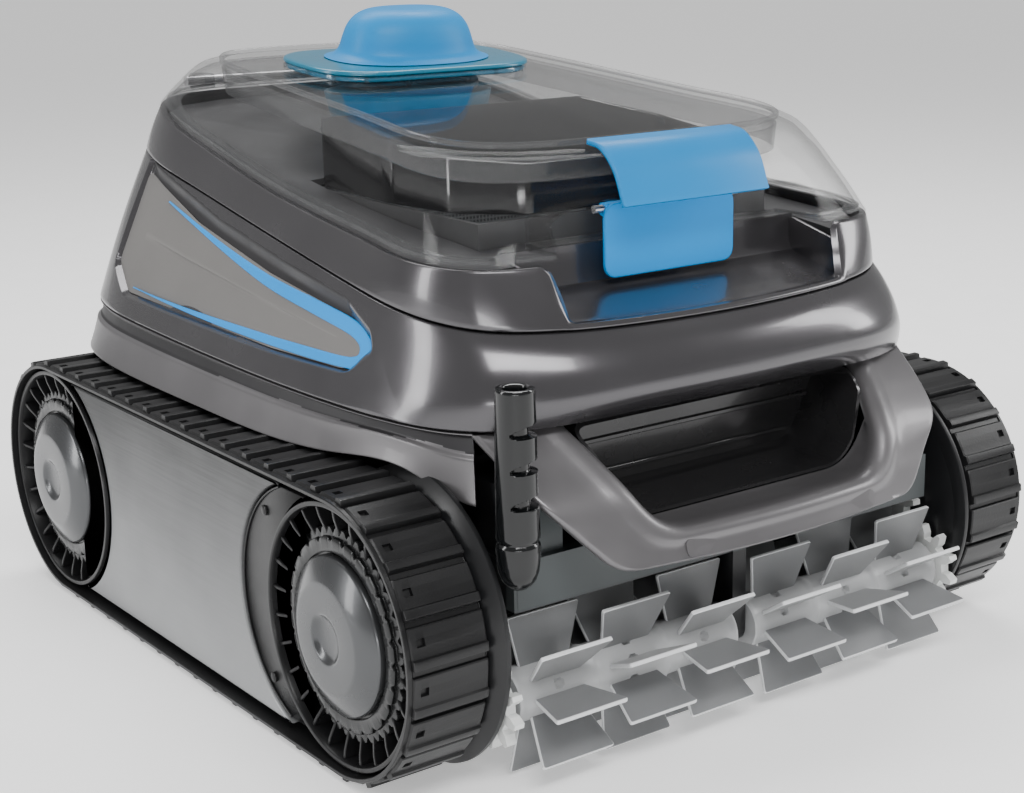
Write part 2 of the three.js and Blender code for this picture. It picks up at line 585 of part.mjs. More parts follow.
// ---- Gears: involute flanks, with a little backlash ----
function gearOutline(teeth) {
  const pitchRadius = (GEAR_MODULE * teeth) / 2;
  const pressure = THREE.MathUtils.degToRad(20);
  const baseRadius = pitchRadius * Math.cos(pressure);
  const involute = (angle) => Math.tan(angle) - angle;
  const halfTooth = (radius) => {
    const roll = radius > baseRadius ? involute(Math.acos(baseRadius / radius)) : 0;
    return (0.44 * Math.PI) / teeth + involute(pressure) - roll;
  };
  const root = pitchRadius - 1.05 * GEAR_MODULE;
  const radii = [Math.max(root + 0.2, baseRadius), pitchRadius + 0.8 * GEAR_MODULE];
  return Array.from({ length: teeth }, (_, i) => (2 * Math.PI * i) / teeth).flatMap((middle) => {
    const flank = radii.map((radius) => [radius, halfTooth(radius)]);
    const tooth = [[root, -flank[0][1]], ...flank.map(([r, a]) => [r, -a]), ...flank.toReversed(),
      [root, flank[0][1]]];
    return tooth.map(([r, a]) => [r * Math.cos(middle + a), r * Math.sin(middle + a)]);
  });
}

// A gear on the side's inner face, turned so that one tooth or gap points along the given direction.
function gear(teeth, bore, direction) {
  const [c, s] = [Math.cos(direction), Math.sin(direction)];
  const outline = gearOutline(teeth).map(([u, v]) => [u * c - v * s, u * s + v * c]);
  return prism(outline, 'x', GEAR_IN_X, GEAR_IN_X + GEAR_WIDTH, [circle(bore)]);
}

// ---- Brush ----
const STUB_RADIUS = 4;
const BLADE = { root: 11, tip: BRUSH_RADIUS, rootHalf: 13, tipHalf: 19, thickness: 2 };
const BLADE_COLUMNS = [25, 66, 107];
const BLADES_AROUND = 8;

function brushRoller(side) {
  const core = turned(
    [[0, 0.6], [STUB_RADIUS, 0.6], [STUB_RADIUS, 5], [13, 5], [13, 128.5], [STUB_RADIUS, 128.5],
      [STUB_RADIUS, 145], [0, 145]],
    'x', [0, 0, 0], 12,
  );
  const { root, tip, rootHalf, tipHalf, thickness } = BLADE;
  const outline = [[-rootHalf, root], [rootHalf, root], [tipHalf, tip], [-tipHalf, tip]];
  const blades = BLADE_COLUMNS.flatMap((x, column) =>
    Array.from({ length: BLADES_AROUND }, (_, i) => {
      const turn = (2 * Math.PI * (i + column / 2 + (side > 0 ? 0.3 : 0))) / BLADES_AROUND;
      return prism(outline, 'y', -thickness / 2, thickness / 2).rotateX(turn).translate(x, 0, 0);
    }),
  );
  return join(core, ...blades);
}

// ---- Lid, outlet and latch ----
const OUTLET = { halfX: 65, front: 33, rear: 113, top: 6.6, hole: 36 };
const LATCH = { coverHalf: 43, flapHalf: 38.5, flapBottom: 199.8 };

function lidShell() {
  const low = lift(LID_EDGE, FIT);
  const rings = [low, blend(low, LID_TOP, 0.5), blend(low, LID_TOP, 0.9), LID_TOP];
  const swollen = rings.map((ring, i) => inset(ring, [0, -2.5, -2, 2][i]));
  const inner = swollen.map((ring) => inset(ring, WALL, WALL));
  const body = cut(skin(swollen, false), skin([lift(inner[0], -6), ...inner], false));
  const lipRing = shell([lift(LID_TOP, -2), lift(LID_TOP, 2.5)], 7, 9.5);
  const { half, back, top, wall } = NICHE;
  const niche = overlap(
    box([-half - wall, half + wall], [-200, back + wall], [200, top + wall]),
    skin(swollen, false),
  );
  const lugs = [-1, 1].map((side) => onSide(box([39.2, 42.5], [LATCH_PIVOT.y - 4, back + 1], [227, top + 1]), side));
  const opening = box([-half, half], [-220, back], [190, top]);
  const pinBore = turned(rodProfile(2.1, -60, 60), 'x', [0, LATCH_PIVOT.y, LATCH_PIVOT.z], 14);
  const ears = [-1, 1].map((side) =>
    onSide(cut(
      join(
        box([65, 75], [170, HINGE.y], [HINGE.z - 3, HINGE.z + 5]),
        turned(rodProfile(5.5, 65, 75), 'x', [0, HINGE.y, HINGE.z], 16),
      ),
      turned(rodProfile(3.4, 60, 80), 'x', [0, HINGE.y, HINGE.z], 16),
    ), side),
  );
  const hole = turned(rodProfile(OUTLET.hole, 240, 320), 'z', [0, PUMP_Y, 0], 24);
  const front = cut(join(body, niche), opening);
  return cut(join(front, lipRing, ...ears, ...lugs), hole, pinBore);
}

// Pieces on the sloping top are built flat about the outlet's middle and tilted with the lid.
const lidTop = new THREE.Group();
lidTop.position.set(0, PUMP_Y, LID_TOP_Z + LID_SLOPE * PUMP_Y);
lidTop.rotation.x = Math.atan(LID_SLOPE);
cleaner.add(lidTop);

function outletPlate() {
  const { halfX, front, rear, top } = OUTLET;
  const outline = rounded([[-halfX, front - PUMP_Y], [halfX, front - PUMP_Y], [halfX, rear - PUMP_Y],
    [-halfX, rear - PUMP_Y]], 34);
  return prism(outline, 'z', 0.6, top, [circle(29)]);
}

function ovalRing(halfX, halfY, z, shift = 0) {
  const steps = 20;
  return Array.from({ length: steps }, (_, i) => {
    const turn = (2 * Math.PI * i) / steps;
    return new THREE.Vector3(halfX * Math.cos(turn), halfY * Math.sin(turn) + shift, z);
  });
}

const HOOD_RINGS = [[46, 32, 7], [38.5, 25, 11], [35.5, 22.5, 21], [29, 17, 29.5], [19, 10, 32.9]];

function outletHood() {
  const rings = (shrink, drop) => HOOD_RINGS.map(([x, y, z]) => ovalRing(x - shrink, y - shrink, z - drop));
  const inner = rings(2.4, 2.2).map((ring, i) => (i ? ring : lift(ring, -3)));
  const mouth = box([-22, 22], [6, 60], [9, 24]);
  return cut(skin(rings(0, 0), false), skin(inner, false), mouth);
}

const propellerGuard = () =>
  join(
    turned(sleeveProfile(34, 38.5, -7.5, -4.2), 'z', [0, 0, 0], 24),
    turned(rodProfile(6, -7.5, -4.2), 'z', [0, 0, 0], 12),
    ...[0, 60, 120].map((angle) => box([-35, 35], [-1, 1], [-7.5, -4.2]).rotateZ(THREE.MathUtils.degToRad(angle))),
  );

function latchCover() {
  const side = [[-141, 262.8], [-151, 260.8], [-161, 252], [-168.3, 235.5], [-165.6, 234.8], [-158.8, 249.8],
    [-149.8, 258.2], [-141, 259.9]];
  return prism(side, 'x', -LATCH.coverHalf, LATCH.coverHalf);
}

function latchFlap() {
  const { y, z } = LATCH_PIVOT;
  const side = [[y - 3.4, z + 2.6], [y - 3.4, LATCH.flapBottom], [y - 0.6, LATCH.flapBottom - 1],
    [y - 0.4, z - 4.4], [y + 3.4, z - 3.4], [y + 3.4, z + 2.6]];
  const corners = rounded([[-LATCH.flapHalf, LATCH.flapBottom - 3], [LATCH.flapHalf, LATCH.flapBottom - 3],
    [LATCH.flapHalf, z + 6], [-LATCH.flapHalf, z + 6]], 6);
  const bore = turned(rodProfile(2.2, -60, 60), 'x', [0, y, z], 14);
  return cut(overlap(prism(side, 'x', -60, 60), prism(corners, 'y', -200, -140)), bore);
}

// ---- Strain relief: a tapered sleeve with three bend slots ----
function strainRelief() {
  const sleeve = turned(
    [[0, 91], [5, 93], [8.4, 99], [9.4, 108], [8.2, 177], [5, 177], [5, 150], [0, 150]],
    'z', [RELIEF.x, RELIEF.y, 0], 16,
  );
  const slots = [127, 142, 157].map((z) => box([RELIEF.x - 2, RELIEF.x + 12], [RELIEF.y - 12, RELIEF.y + 12], [z, z + 3.2]));
  return cut(sleeve, ...slots.map((slot) => slot.translate(-1.5, 0, 0)));
}

// ---- Assembly ----
add('chassis_tub', chassisTub(), FINISH.blackPlastic);
add('lower_skirt', lowerSkirt(), FINISH.satinGrey);
add('upper_casing', upperCasing(), FINISH.gunmetal);
add('shoulder_ring', shoulderRing(), FINISH.gunmetal);
add('latch_pocket', latchPocket(), FINISH.gunmetal);
add('front_panel', frontPanel(), FINISH.satinGrey);
add('slot_liner', slotLiner(), FINISH.blackPlastic);
const gripRows = [PANEL_ROWS[3], { z: 94, half: 92, middle: -231, edge: -221 }].map((row, i) =>
  (i ? row : { ...row, z: 101, half: 97, middle: -228.2, edge: -218 }));
add('grip_pad', panelPlate(gripRows, -1.6, -FIT, 0.6, 10), FINISH.matteGrey);
add('inner_deck', innerDeck(), FINISH.blackPlastic);
add('filter_basket', filterBasket(), FINISH.blackPlastic);
add('filter_screen', filterScreen(), FINISH.screen);
add('filter_cover', filterCover(), FINISH.blackPlastic);
add('motor_block', motorBlock(), FINISH.blackPlastic);
add('flow_duct', join(flowDuct(), ...ductLegs()), FINISH.blue);
add('propeller', propeller(), FINISH.blackPlastic);
add('pump_shaft', turned(rodProfile(4, 181, 229), 'z', [0, PUMP_Y, 0], 20), FINISH.steel);
add('strain_relief', strainRelief(), FINISH.glossBlack);
add('hinge_pin', turned(rodProfile(3, -76, 76), 'x', [0, HINGE.y, HINGE.z], 16), FINISH.steel);
add('lid', lidShell(), FINISH.clear);
add('outlet_plate', outletPlate(), FINISH.blue, lidTop);
add('outlet_hood', outletHood(), FINISH.blue, lidTop);
add('propeller_guard', propellerGuard(), FINISH.blue, lidTop);
add('latch_cover', latchCover(), FINISH.blue);
add('latch_flap', latchFlap(), FINISH.blue);
add('latch_pin', turned(rodProfile(1.8, -42.5, 42.5), 'x', [0, LATCH_PIVOT.y, LATCH_PIVOT.z], 14), FINISH.steel);

const gearLine = Math.atan2(BRUSH_AXIS.z - AXLE_Z, BRUSH_AXIS.y - FRONT_WHEEL_Y);
for (const [name, side] of Object.entries(SIDES)) {
  const place = (piece, y, z) => onSide(tidy(piece), side).clone().translate(0, y, z);
  const frontWheel = (piece) => place(piece, FRONT_WHEEL_Y, AXLE_Z);
  const rearWheel = (piece) => place(piece, REAR_WHEEL_Y, AXLE_Z);
  const atBrush = (piece) => place(piece, BRUSH_AXIS.y, BRUSH_AXIS.z);
  add(`side_cover_${name}`, onSide(sideCover(), side), FINISH.matteGrey);
  add(`side_stripe_${name}`, onSide(sideStripe(), side), FINISH.blue);
  add(`track_belt_${name}`, onSide(trackBelt(), side), FINISH.rubber);
  add(`track_guard_${name}`, onSide(trackGuard(), side), FINISH.blackPlastic);
  add(`side_plate_${name}`, onSide(sidePlate(), side), FINISH.silver);
  add(`crescent_guard_${name}`, onSide(crescentGuard(), side), FINISH.blackPlastic);
  add(`front_wheel_${name}`, frontWheel(wheel()), FINISH.blackPlastic);
  add(`rear_wheel_${name}`, rearWheel(wheel()), FINISH.blackPlastic);
  add(`front_hub_cap_${name}`, frontWheel(hubCap()), FINISH.satinGrey);
  add(`rear_hub_cap_${name}`, rearWheel(hubCap()), FINISH.satinGrey);
  add(`stub_axle_${name}`, frontWheel(turned(
    [[0, 125.3], [10, 125.3], [10, 129], [AXLE_RADIUS, 129], [AXLE_RADIUS, OUT(7.5)], [0, OUT(7.5)]],
    'x', [0, 0, 0], 20)), FINISH.steel);
  add(`drive_shaft_${name}`, rearWheel(turned(rodProfile(AXLE_RADIUS, 70.4, OUT(7.5)), 'x', [0, 0, 0], 20)), FINISH.steel);
  add(`shaft_seal_${name}`, rearWheel(turned(sleeveProfile(AXLE_RADIUS + FIT, 10.6, 121, 127), 'x', [0, 0, 0], 16)),
    FINISH.rubber);
  add(`wheel_gear_${name}`, frontWheel(gear(WHEEL_GEAR_TEETH, 10.5, gearLine)), FINISH.screen);
  add(`brush_gear_${name}`, atBrush(gear(BRUSH_GEAR_TEETH, STUB_RADIUS + FIT, gearLine + Math.PI + Math.PI / BRUSH_GEAR_TEETH)),
    FINISH.screen);
  add(`brush_roller_${name}`, atBrush(brushRoller(side)), FINISH.blade);
  add(`brush_bush_${name}`, atBrush(turned(sleeveProfile(STUB_RADIUS + FIT, 8, 138.5, 146.8), 'x', [0, 0, 0], 16)),
    FINISH.rubber);
}

export default cleaner;
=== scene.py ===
"""Looks of the tracked pool cleaner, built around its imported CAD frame.

Shapes are worked out in millimetres, with Y counted from the middle of the wheel base, front towards -Y.
Mesh builds them in metres in the frame's own place.
"""

import logging
import math
from dataclasses import dataclass, field
from enum import Enum
from typing import Callable, Iterable, Sequence

import bmesh
import bpy
import numpy as np
from mathutils import Matrix, Vector


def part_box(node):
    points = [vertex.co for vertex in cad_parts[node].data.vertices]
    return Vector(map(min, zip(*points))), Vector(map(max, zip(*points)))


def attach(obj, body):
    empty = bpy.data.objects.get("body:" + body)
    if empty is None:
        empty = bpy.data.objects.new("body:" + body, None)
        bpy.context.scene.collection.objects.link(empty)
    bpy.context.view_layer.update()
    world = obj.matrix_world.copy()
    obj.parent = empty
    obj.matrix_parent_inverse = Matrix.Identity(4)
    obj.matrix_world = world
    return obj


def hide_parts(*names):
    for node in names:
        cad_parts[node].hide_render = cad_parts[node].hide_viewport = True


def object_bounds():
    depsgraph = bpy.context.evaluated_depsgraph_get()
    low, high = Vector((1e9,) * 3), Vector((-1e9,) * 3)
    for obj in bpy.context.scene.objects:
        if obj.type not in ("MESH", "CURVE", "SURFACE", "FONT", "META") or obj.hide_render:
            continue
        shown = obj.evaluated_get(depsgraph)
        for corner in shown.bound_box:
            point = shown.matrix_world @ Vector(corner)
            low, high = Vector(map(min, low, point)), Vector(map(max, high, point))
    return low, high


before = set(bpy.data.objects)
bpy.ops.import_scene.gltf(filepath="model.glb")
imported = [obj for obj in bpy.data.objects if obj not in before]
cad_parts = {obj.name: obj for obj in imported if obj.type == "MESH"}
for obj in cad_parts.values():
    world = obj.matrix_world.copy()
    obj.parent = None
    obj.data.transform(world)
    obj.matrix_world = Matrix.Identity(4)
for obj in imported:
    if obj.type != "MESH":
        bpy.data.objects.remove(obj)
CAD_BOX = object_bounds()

LOG = logging.getLogger("pool_cleaner")
Array = np.ndarray
Socket = bpy.types.NodeSocket
Colour = tuple[float, float, float]
MM = 0.001
TAU = 2 * math.pi


def middle_of(node: str) -> Array:
    """The middle of a CAD node's box, in millimetres."""
    low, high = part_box(node)
    return (np.array(low) + np.array(high)) / (2 * MM)


FRONT_AXLE = middle_of("front_hub_cap_left")
REAR_AXLE = middle_of("rear_hub_cap_left")
BASE_SHIFT = (FRONT_AXLE[1] + REAR_AXLE[1]) / 2
HALF_BASE = (REAR_AXLE[1] - FRONT_AXLE[1]) / 2
AXLE_Z = float(REAR_AXLE[2])
TRACK_IN = float(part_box("track_belt_right")[0][0]) / MM
BRUSH_AXIS = middle_of("brush_bush_left") - (0, BASE_SHIFT, 0)
PUMP = middle_of("pump_shaft") - (0, BASE_SHIFT, 0)


class Side(Enum):
    """The cleaner's two sides, as the sign of X."""

    LEFT = -1
    RIGHT = 1

    @property
    def word(self) -> str:
        """The side's name in node and body names."""
        return self.name.lower()


class Axis(Enum):
    """An axis to turn or extrude about, as the order of the row axes that (u, v, along) fill."""

    X = (1, 2, 0)
    Y = (0, 2, 1)
    Z = (0, 1, 2)


# ---------------------------------------------------------------- surfaces
@dataclass
class Surface:
    """Points in millimetres, the quads between them, and flat faces with more corners."""

    points: Array
    quads: Array = field(default_factory=lambda: np.zeros((0, 4), int))
    flats: list[list[int]] = field(default_factory=list)

    def moved(self, x: float = 0, y: float = 0, z: float = 0) -> "Surface":
        """The surface shifted by a distance along each axis."""
        return Surface(self.points + np.array([x, y, z]), self.quads, self.flats)

    def turned(self, angle: float, axis: Axis = Axis.X, about: Sequence[float] = (0, 0, 0)) -> "Surface":
        """The surface turned about an axis through a point: each point's (u, v) is rotated.

        Args:
            angle: the turn in radians, from the axis's u direction to its v direction.
            axis: the axis to turn about.
            about: a point on that axis.

        Returns:
            The turned surface.
        """
        u, v, _ = axis.value
        centre = np.asarray(about, float)
        points = self.points - centre
        turned = points.copy()
        turned[:, u] = points[:, u] * math.cos(angle) - points[:, v] * math.sin(angle)
        turned[:, v] = points[:, u] * math.sin(angle) + points[:, v] * math.cos(angle)
        return Surface(turned + centre, self.quads, self.flats)

    def on(self, side: Side) -> "Surface":
        """The surface on a side: one built at +X is mirrored for the left."""
        return Surface(self.points * (side.value, 1, 1), self.quads, self.flats)


def joined(parts: Iterable[Surface]) -> Surface:
    """All the parts as one surface, with their faces renumbered.

    Args:
        parts: the surfaces to join.

    Returns:
        One surface of them all.
    """
    points, quads, flats, start = [], [], [], 0
    for part in parts:
        points.append(part.points)
        quads.append(part.quads + start)
        flats += [[corner + start for corner in flat] for flat in part.flats]
        start += len(part.points)
    return Surface(np.concatenate(points), np.concatenate(quads), flats)


def grid(points: Array, wrap_rows: bool = False, wrap_columns: bool = False) -> Surface:
    """Quads between the points of a grid, which may close on itself either way.

    Args:
        points: an array of rows by columns by 3.
        wrap_rows: whether the last row joins the first.
        wrap_columns: whether the last column joins the first.

    Returns:
        The grid's surface.
    """
    rows, columns = points.shape[:2]
    i = np.arange(rows if wrap_rows else rows - 1)[:, None]
    j = np.arange(columns if wrap_columns else columns - 1)[None, :]

    def at(row: Array, column: Array) -> Array:
        """The index of a grid point."""
        return (row % rows) * columns + column % columns

    quads = np.stack([at(i, j), at(i, j + 1), at(i + 1, j + 1), at(i + 1, j)], axis=-1)
    return Surface(points.reshape(-1, 3).astype(float), quads.reshape(-1, 4))


def closed_stack(rings: Array) -> Surface:
    """Rings of points joined in order, with a flat face over the first and the last.

    Args:
        rings: an array of rings by points by 3.

    Returns:
        The closed surface.
    """
    surface = grid(rings, wrap_columns=True)
    count, width = rings.shape[:2]
    surface.flats = [list(range(width))[::-1], list(range((count - 1) * width, count * width))]
    return surface


def placed(uv: Array, along: Array | float, axis: Axis) -> Array:
    """Points whose (u, v) come from an outline and whose third value lies along the axis.

    Args:
        uv: the outline's points, in the two directions across the axis.
        along: their place along the axis.
        axis: the axis.

    Returns:
        The 3-D points.
    """
    points = np.zeros((*np.shape(uv)[:-1], 3))
    u, v, w = axis.value
    points[..., u], points[..., v], points[..., w] = uv[..., 0], uv[..., 1], along
    return points


def revolved(profile: Sequence[Sequence[float]], axis: Axis, centre: Sequence[float],
             steps: int = 64) -> Surface:
    """A profile of (radius, height) turned about an axis: u = r cos a, v = r sin a.

    Args:
        profile: the (radius, height) points in order.
        axis: the axis it turns about.
        centre: a point on the axis that heights count from.
        steps: points around.

    Returns:
        The surface of revolution.
    """
    radius, height = np.asarray(profile, float).T
    angle = np.linspace(0, TAU, steps, endpoint=False)
    uv = radius[:, None, None] * np.stack([np.cos(angle), np.sin(angle)], axis=-1)[None]
    rings = placed(uv, np.broadcast_to(height[:, None], uv.shape[:2]), axis)
    return grid(rings, wrap_columns=True).moved(*centre)


def inset(outline: Array, distance: float) -> Array:
    """A closed outline moved inwards: each point goes square to the line between its neighbours.

    Args:
        outline: the (u, v) points of the outline.
        distance: how far it moves in.

    Returns:
        The moved outline.
    """
    along = np.roll(outline, -1, axis=0) - np.roll(outline, 1, axis=0)
    along /= np.maximum(np.linalg.norm(along, axis=1, keepdims=True), 1e-9)
    x, y = outline[:, 0], outline[:, 1]
    turn = np.sign(np.sum(x * np.roll(y, -1) - np.roll(x, -1) * y)) or 1.0
    normal = np.stack([-along[:, 1], along[:, 0]], axis=1) * turn
    return outline + normal * distance


def prism(outline: Array, axis: Axis, low: float, high: float, chamfer: float = 0.4,
          steps: int = 1) -> Surface:
    """An outline carried along an axis, its two rims rounded: the inset follows a quarter circle.

    Args:
        outline: the (u, v) points of the closed outline.
        axis: the axis it is carried along.
        low: where it starts.
        high: where it ends.
        chamfer: the rounding's radius.
        steps: facets on each rounding.

    Returns:
        The closed prism.
    """
    turn = np.linspace(0, math.pi / 2, steps + 1)
    shrink = chamfer * (1 - np.sin(turn))
    rise = chamfer * (1 - np.cos(turn))
    insets = np.concatenate([shrink, shrink[::-1]])
    heights = np.concatenate([low + rise, (high - rise)[::-1]])
    rings = np.stack([placed(inset(outline, s), h, axis) for s, h in zip(insets, heights)])
    return closed_stack(rings)


def rectangle(u0: float, u1: float, v0: float, v1: float) -> Array:
    """The four corners of a rectangle."""
    return np.array([[u0, v0], [u1, v0], [u1, v1], [u0, v1]], float)


def rounded(corners: Sequence[Sequence[float]], radius: float, steps: int = 6) -> Array:
    """A polygon with each corner replaced by a quadratic curve that starts a radius away from it.

    Args:
        corners: the polygon's (u, v) corners.
        radius: how far from a corner its curve starts.
        steps: stretches on each curve.

    Returns:
        The rounded outline.
    """
    at = np.asarray(corners, float)
    before, after = np.roll(at, 1, axis=0) - at, np.roll(at, -1, axis=0) - at
    a = at + before / np.linalg.norm(before, axis=1, keepdims=True) * radius
    b = at + after / np.linalg.norm(after, axis=1, keepdims=True) * radius
    t = np.linspace(0, 1, steps + 1)[None, :, None]
    curve = (1 - t) ** 2 * a[:, None] + 2 * t * (1 - t) * at[:, None] + t * t * b[:, None]
    return curve.reshape(-1, 2)


def block(x: Sequence[float], y: Sequence[float], z: Sequence[float], chamfer: float = 0.5) -> Surface:
    """A box between pairs of limits, with every edge taken off by a chamfer."""
    corner = rounded(rectangle(*x, *y), chamfer, 1)
    return prism(corner, Axis.Z, *z, chamfer)


def curve_through(knots: Sequence[Sequence[float]], at: Array) -> Array:
    """A smooth curve through (x, y) knots: cubic Hermite pieces whose slopes are the neighbours' mean.

    Args:
        knots: the points it passes through, with x rising.
        at: the x values to read it at.

    Returns:
        The curve's y values.
    """
    x, y = np.asarray(knots, float).T
    slope = np.gradient(y, x)
    i = np.clip(np.searchsorted(x, at) - 1, 0, len(x) - 2)
    width = x[i + 1] - x[i]
    t = np.clip((at - x[i]) / width, 0, 1)
    head = (1 + 2 * t) * (1 - t) ** 2 * y[i] + t * (1 - t) ** 2 * width * slope[i]
    return head + t * t * (3 - 2 * t) * y[i + 1] + t * t * (t - 1) * width * slope[i + 1]


def smoothstep(value: Array, low: float, high: float) -> Array:
    """A smooth rise from 0 at low to 1 at high: 3t^2 - 2t^3."""
    t = np.clip((value - low) / (high - low), 0, 1)
    return t * t * (3 - 2 * t)


def closed_spline(knots: Array, samples: int | Sequence[int]) -> Array:
    """A closed curve through knots with no break in its curvature.

    A periodic cubic spline over the chord length: its second derivatives m solve the ring of
    h0 m0 + 2 (h0 + h1) m1 + h1 m2 = 6 (slope after - slope before).

    Args:
        knots: the points it passes through.
        samples: points to return, shared evenly between the knots, or the number after each knot.

    Returns:
        The points around the curve.
    """
    count = len(knots)
    step = np.linalg.norm(np.roll(knots, -1, axis=0) - knots, axis=1)
    slope = (np.roll(knots, -1, axis=0) - knots) / step[:, None]
    system = np.diag(2 * (step + np.roll(step, 1)))
    index = np.arange(count)
    system[index, (index + 1) % count] += step
    system[index, index - 1] += np.roll(step, 1)
    bend = np.linalg.solve(system, 6 * (slope - np.roll(slope, 1, axis=0)))
    if np.ndim(samples):
        place = np.concatenate([k + np.arange(n) / n for k, n in enumerate(samples)])
    else:
        place = np.arange(samples) * count / samples
    i = place.astype(int)
    t = (place - i)[:, None]
    h = step[i][:, None]
    a, b = knots[i], knots[(i + 1) % count]
    curve = (1 - t) * a + t * b
    return curve + h * h / 6 * (((1 - t) ** 3 - (1 - t)) * bend[i] + (t**3 - t) * bend[(i + 1) % count])


# ---------------------------------------------------------------- finishes
WEAR_FROM, WEAR_TO = 0.53, 0.62  # pointiness where wear starts and is full
ROUGH_SPREAD = 0.18  # share by which the roughness wanders
COAT_ROUGHNESS = 0.08


@dataclass(frozen=True)
class Finish:
    """A moulded or painted surface: mottled colour, uneven roughness, a fine grain and paler worn edges."""

    name: str
    slot: str
    colour: Colour
    roughness: float
    metallic: float = 0.0
    mottle: float = 0.12
    mottle_scale: float = 28.0
    grain: float = 0.06
    grain_scale: float = 900.0
    coat: float = 0.0
    edge: float = 0.35
    specular: float = 0.5
    stretch: tuple[float, float, float] = (1.0, 1.0, 1.0)

    def material(self) -> bpy.types.Material:
        """The finish's material, made once."""
        found = bpy.data.materials.get(f"{self.name}_finish")
        return found or self.build()

    def build(self) -> bpy.types.Material:
        """Lays out the nodes: mottled colour and roughness, bump from grain, and wear from pointiness.

        Returns:
            The new material.
        """
        wiring = Wiring(f"{self.name}_finish")
        place = wiring.object_place(self.stretch)
        cloud = wiring.noise(place, self.mottle_scale, 4)
        grain = wiring.noise(place, self.grain_scale, 2)
        dark = tuple(c * (1 - self.mottle) for c in self.colour)
        light = tuple(min(1.0, c * (1 + self.mottle)) for c in self.colour)
        body = wiring.mix(cloud, dark, light)
        worn = tuple(min(1.0, c * 1.6 + 0.02) for c in self.colour)
        wear = wiring.ranged(wiring.pointiness(), WEAR_FROM, WEAR_TO, 0.0, self.edge)
        shader = wiring.shader
        wiring.link(wiring.mix(wear, body, worn), shader.inputs["Base Color"])
        spread = self.roughness * ROUGH_SPREAD
        rough = wiring.ranged(cloud, 0.3, 0.7, self.roughness - spread, self.roughness + spread)
        wiring.link(rough, shader.inputs["Roughness"])
        shader.inputs["Metallic"].default_value = self.metallic
        shader.inputs["Specular IOR Level"].default_value = self.specular
        shader.inputs["Coat Weight"].default_value = self.coat
        shader.inputs["Coat Roughness"].default_value = COAT_ROUGHNESS
        wiring.bump(grain, self.grain)
        self.dress(wiring)
        return wiring.material

    def dress(self, wiring: "Wiring") -> None:
        """Further nodes of a special finish; a plain one has none."""


class Wiring:
    """A material under construction, with short ways to add the nodes that the finishes share."""

    def __init__(self, name: str) -> None:
        """Starts a material with its shader and output.

        Args:
            name: the material's name.
        """
        self.material = bpy.data.materials.new(name)
        self.material.use_nodes = True
        self.tree = self.material.node_tree
        self.shader = self.tree.nodes["Principled BSDF"]

    def node(self, kind: str) -> bpy.types.Node:
        """A new node of a kind."""
        return self.tree.nodes.new(kind)

    def link(self, source: Socket, target: Socket) -> None:
        """Links two sockets."""
        self.tree.links.new(source, target)

    def object_place(self, stretch: Sequence[float] = (1, 1, 1)) -> Socket:
        """Object coordinates, stretched along the axes.

        Args:
            stretch: the scale along each axis.

        Returns:
            The stretched coordinates.
        """
        mapping = self.node("ShaderNodeMapping")
        mapping.inputs["Scale"].default_value = stretch
        self.link(self.node("ShaderNodeTexCoord").outputs["Object"], mapping.inputs["Vector"])
        return mapping.outputs["Vector"]

    def noise(self, place: Socket, scale: float, detail: float) -> Socket:
        """Noise read at a place.

        Args:
            place: the coordinates it is read at.
            scale: how fine it is.
            detail: its octaves.

        Returns:
            The noise, from 0 to 1.
        """
        noise = self.node("ShaderNodeTexNoise")
        noise.inputs["Scale"].default_value = scale
        noise.inputs["Detail"].default_value = detail
        self.link(place, noise.inputs["Vector"])
        return noise.outputs["Fac"]

    def pointiness(self) -> Socket:
        """How sharply the surface stands out, near one half where it is flat."""
        return self.node("ShaderNodeNewGeometry").outputs["Pointiness"]

    def ranged(self, value: Socket, low: float, high: float, start: float, end: float) -> Socket:
        """A value mapped from one range to another, and held at its ends.

        Args:
            value: the value to map.
            low: the start of its range.
            high: the end of its range.
            start: what low becomes.
            end: what high becomes.

        Returns:
            The mapped value.
        """
        ranged = self.node("ShaderNodeMapRange")
        for socket, number in zip(ranged.inputs[1:5], (low, high, start, end)):
            socket.default_value = number
        self.link(value, ranged.inputs[0])
        return ranged.outputs[0]

    def mix(self, share: Socket, first: Colour | Socket, second: Colour | Socket) -> Socket:
        """Two colours or colour sockets mixed by a share.

        Args:
            share: how much of the second shows.
            first: the colour at share 0.
            second: the colour at share 1.

        Returns:
            The mixed colour.
        """
        mix = self.node("ShaderNodeMix")
        mix.data_type = "RGBA"
        self.link(share, mix.inputs["Factor"])
        for socket, colour in zip((mix.inputs[6], mix.inputs[7]), (first, second)):
            if isinstance(colour, Socket):
                self.link(colour, socket)
            else:
                socket.default_value = (*colour, 1)
        return mix.outputs[2]

    def math(self, operation: str, first: Socket, second: float | Socket) -> Socket:
        """A sum on one or two values.

        Args:
            operation: the sum's name.
            first: its first value.
            second: its second value.

        Returns:
            The result.
        """
        node = self.node("ShaderNodeMath")
        node.operation = operation
        self.link(first, node.inputs[0])
        if isinstance(second, Socket):
            self.link(second, node.inputs[1])
        else:
            node.inputs[1].default_value = second
        return node.outputs[0]

    def height_split(self) -> tuple[Socket, ...]:
        """Object coordinates as separate x, y and z.

        Returns:
            The x, y and z sockets.
        """
        split = self.node("ShaderNodeSeparateXYZ")
        self.link(self.node("ShaderNodeTexCoord").outputs["Object"], split.inputs[0])
        return tuple(split.outputs)

    def bump(self, height: Socket, strength: float, distance: float = 0.0004) -> None:
        """Relief from a height.

        Args:
            height: the height to read.
            strength: how much of the relief shows.
            distance: the relief's depth in metres.
        """
        bump = self.node("ShaderNodeBump")
        bump.inputs["Strength"].default_value = strength
        bump.inputs["Distance"].default_value = distance
        self.link(height, bump.inputs["Height"])
        self.link(bump.outputs["Normal"], self.shader.inputs["Normal"])


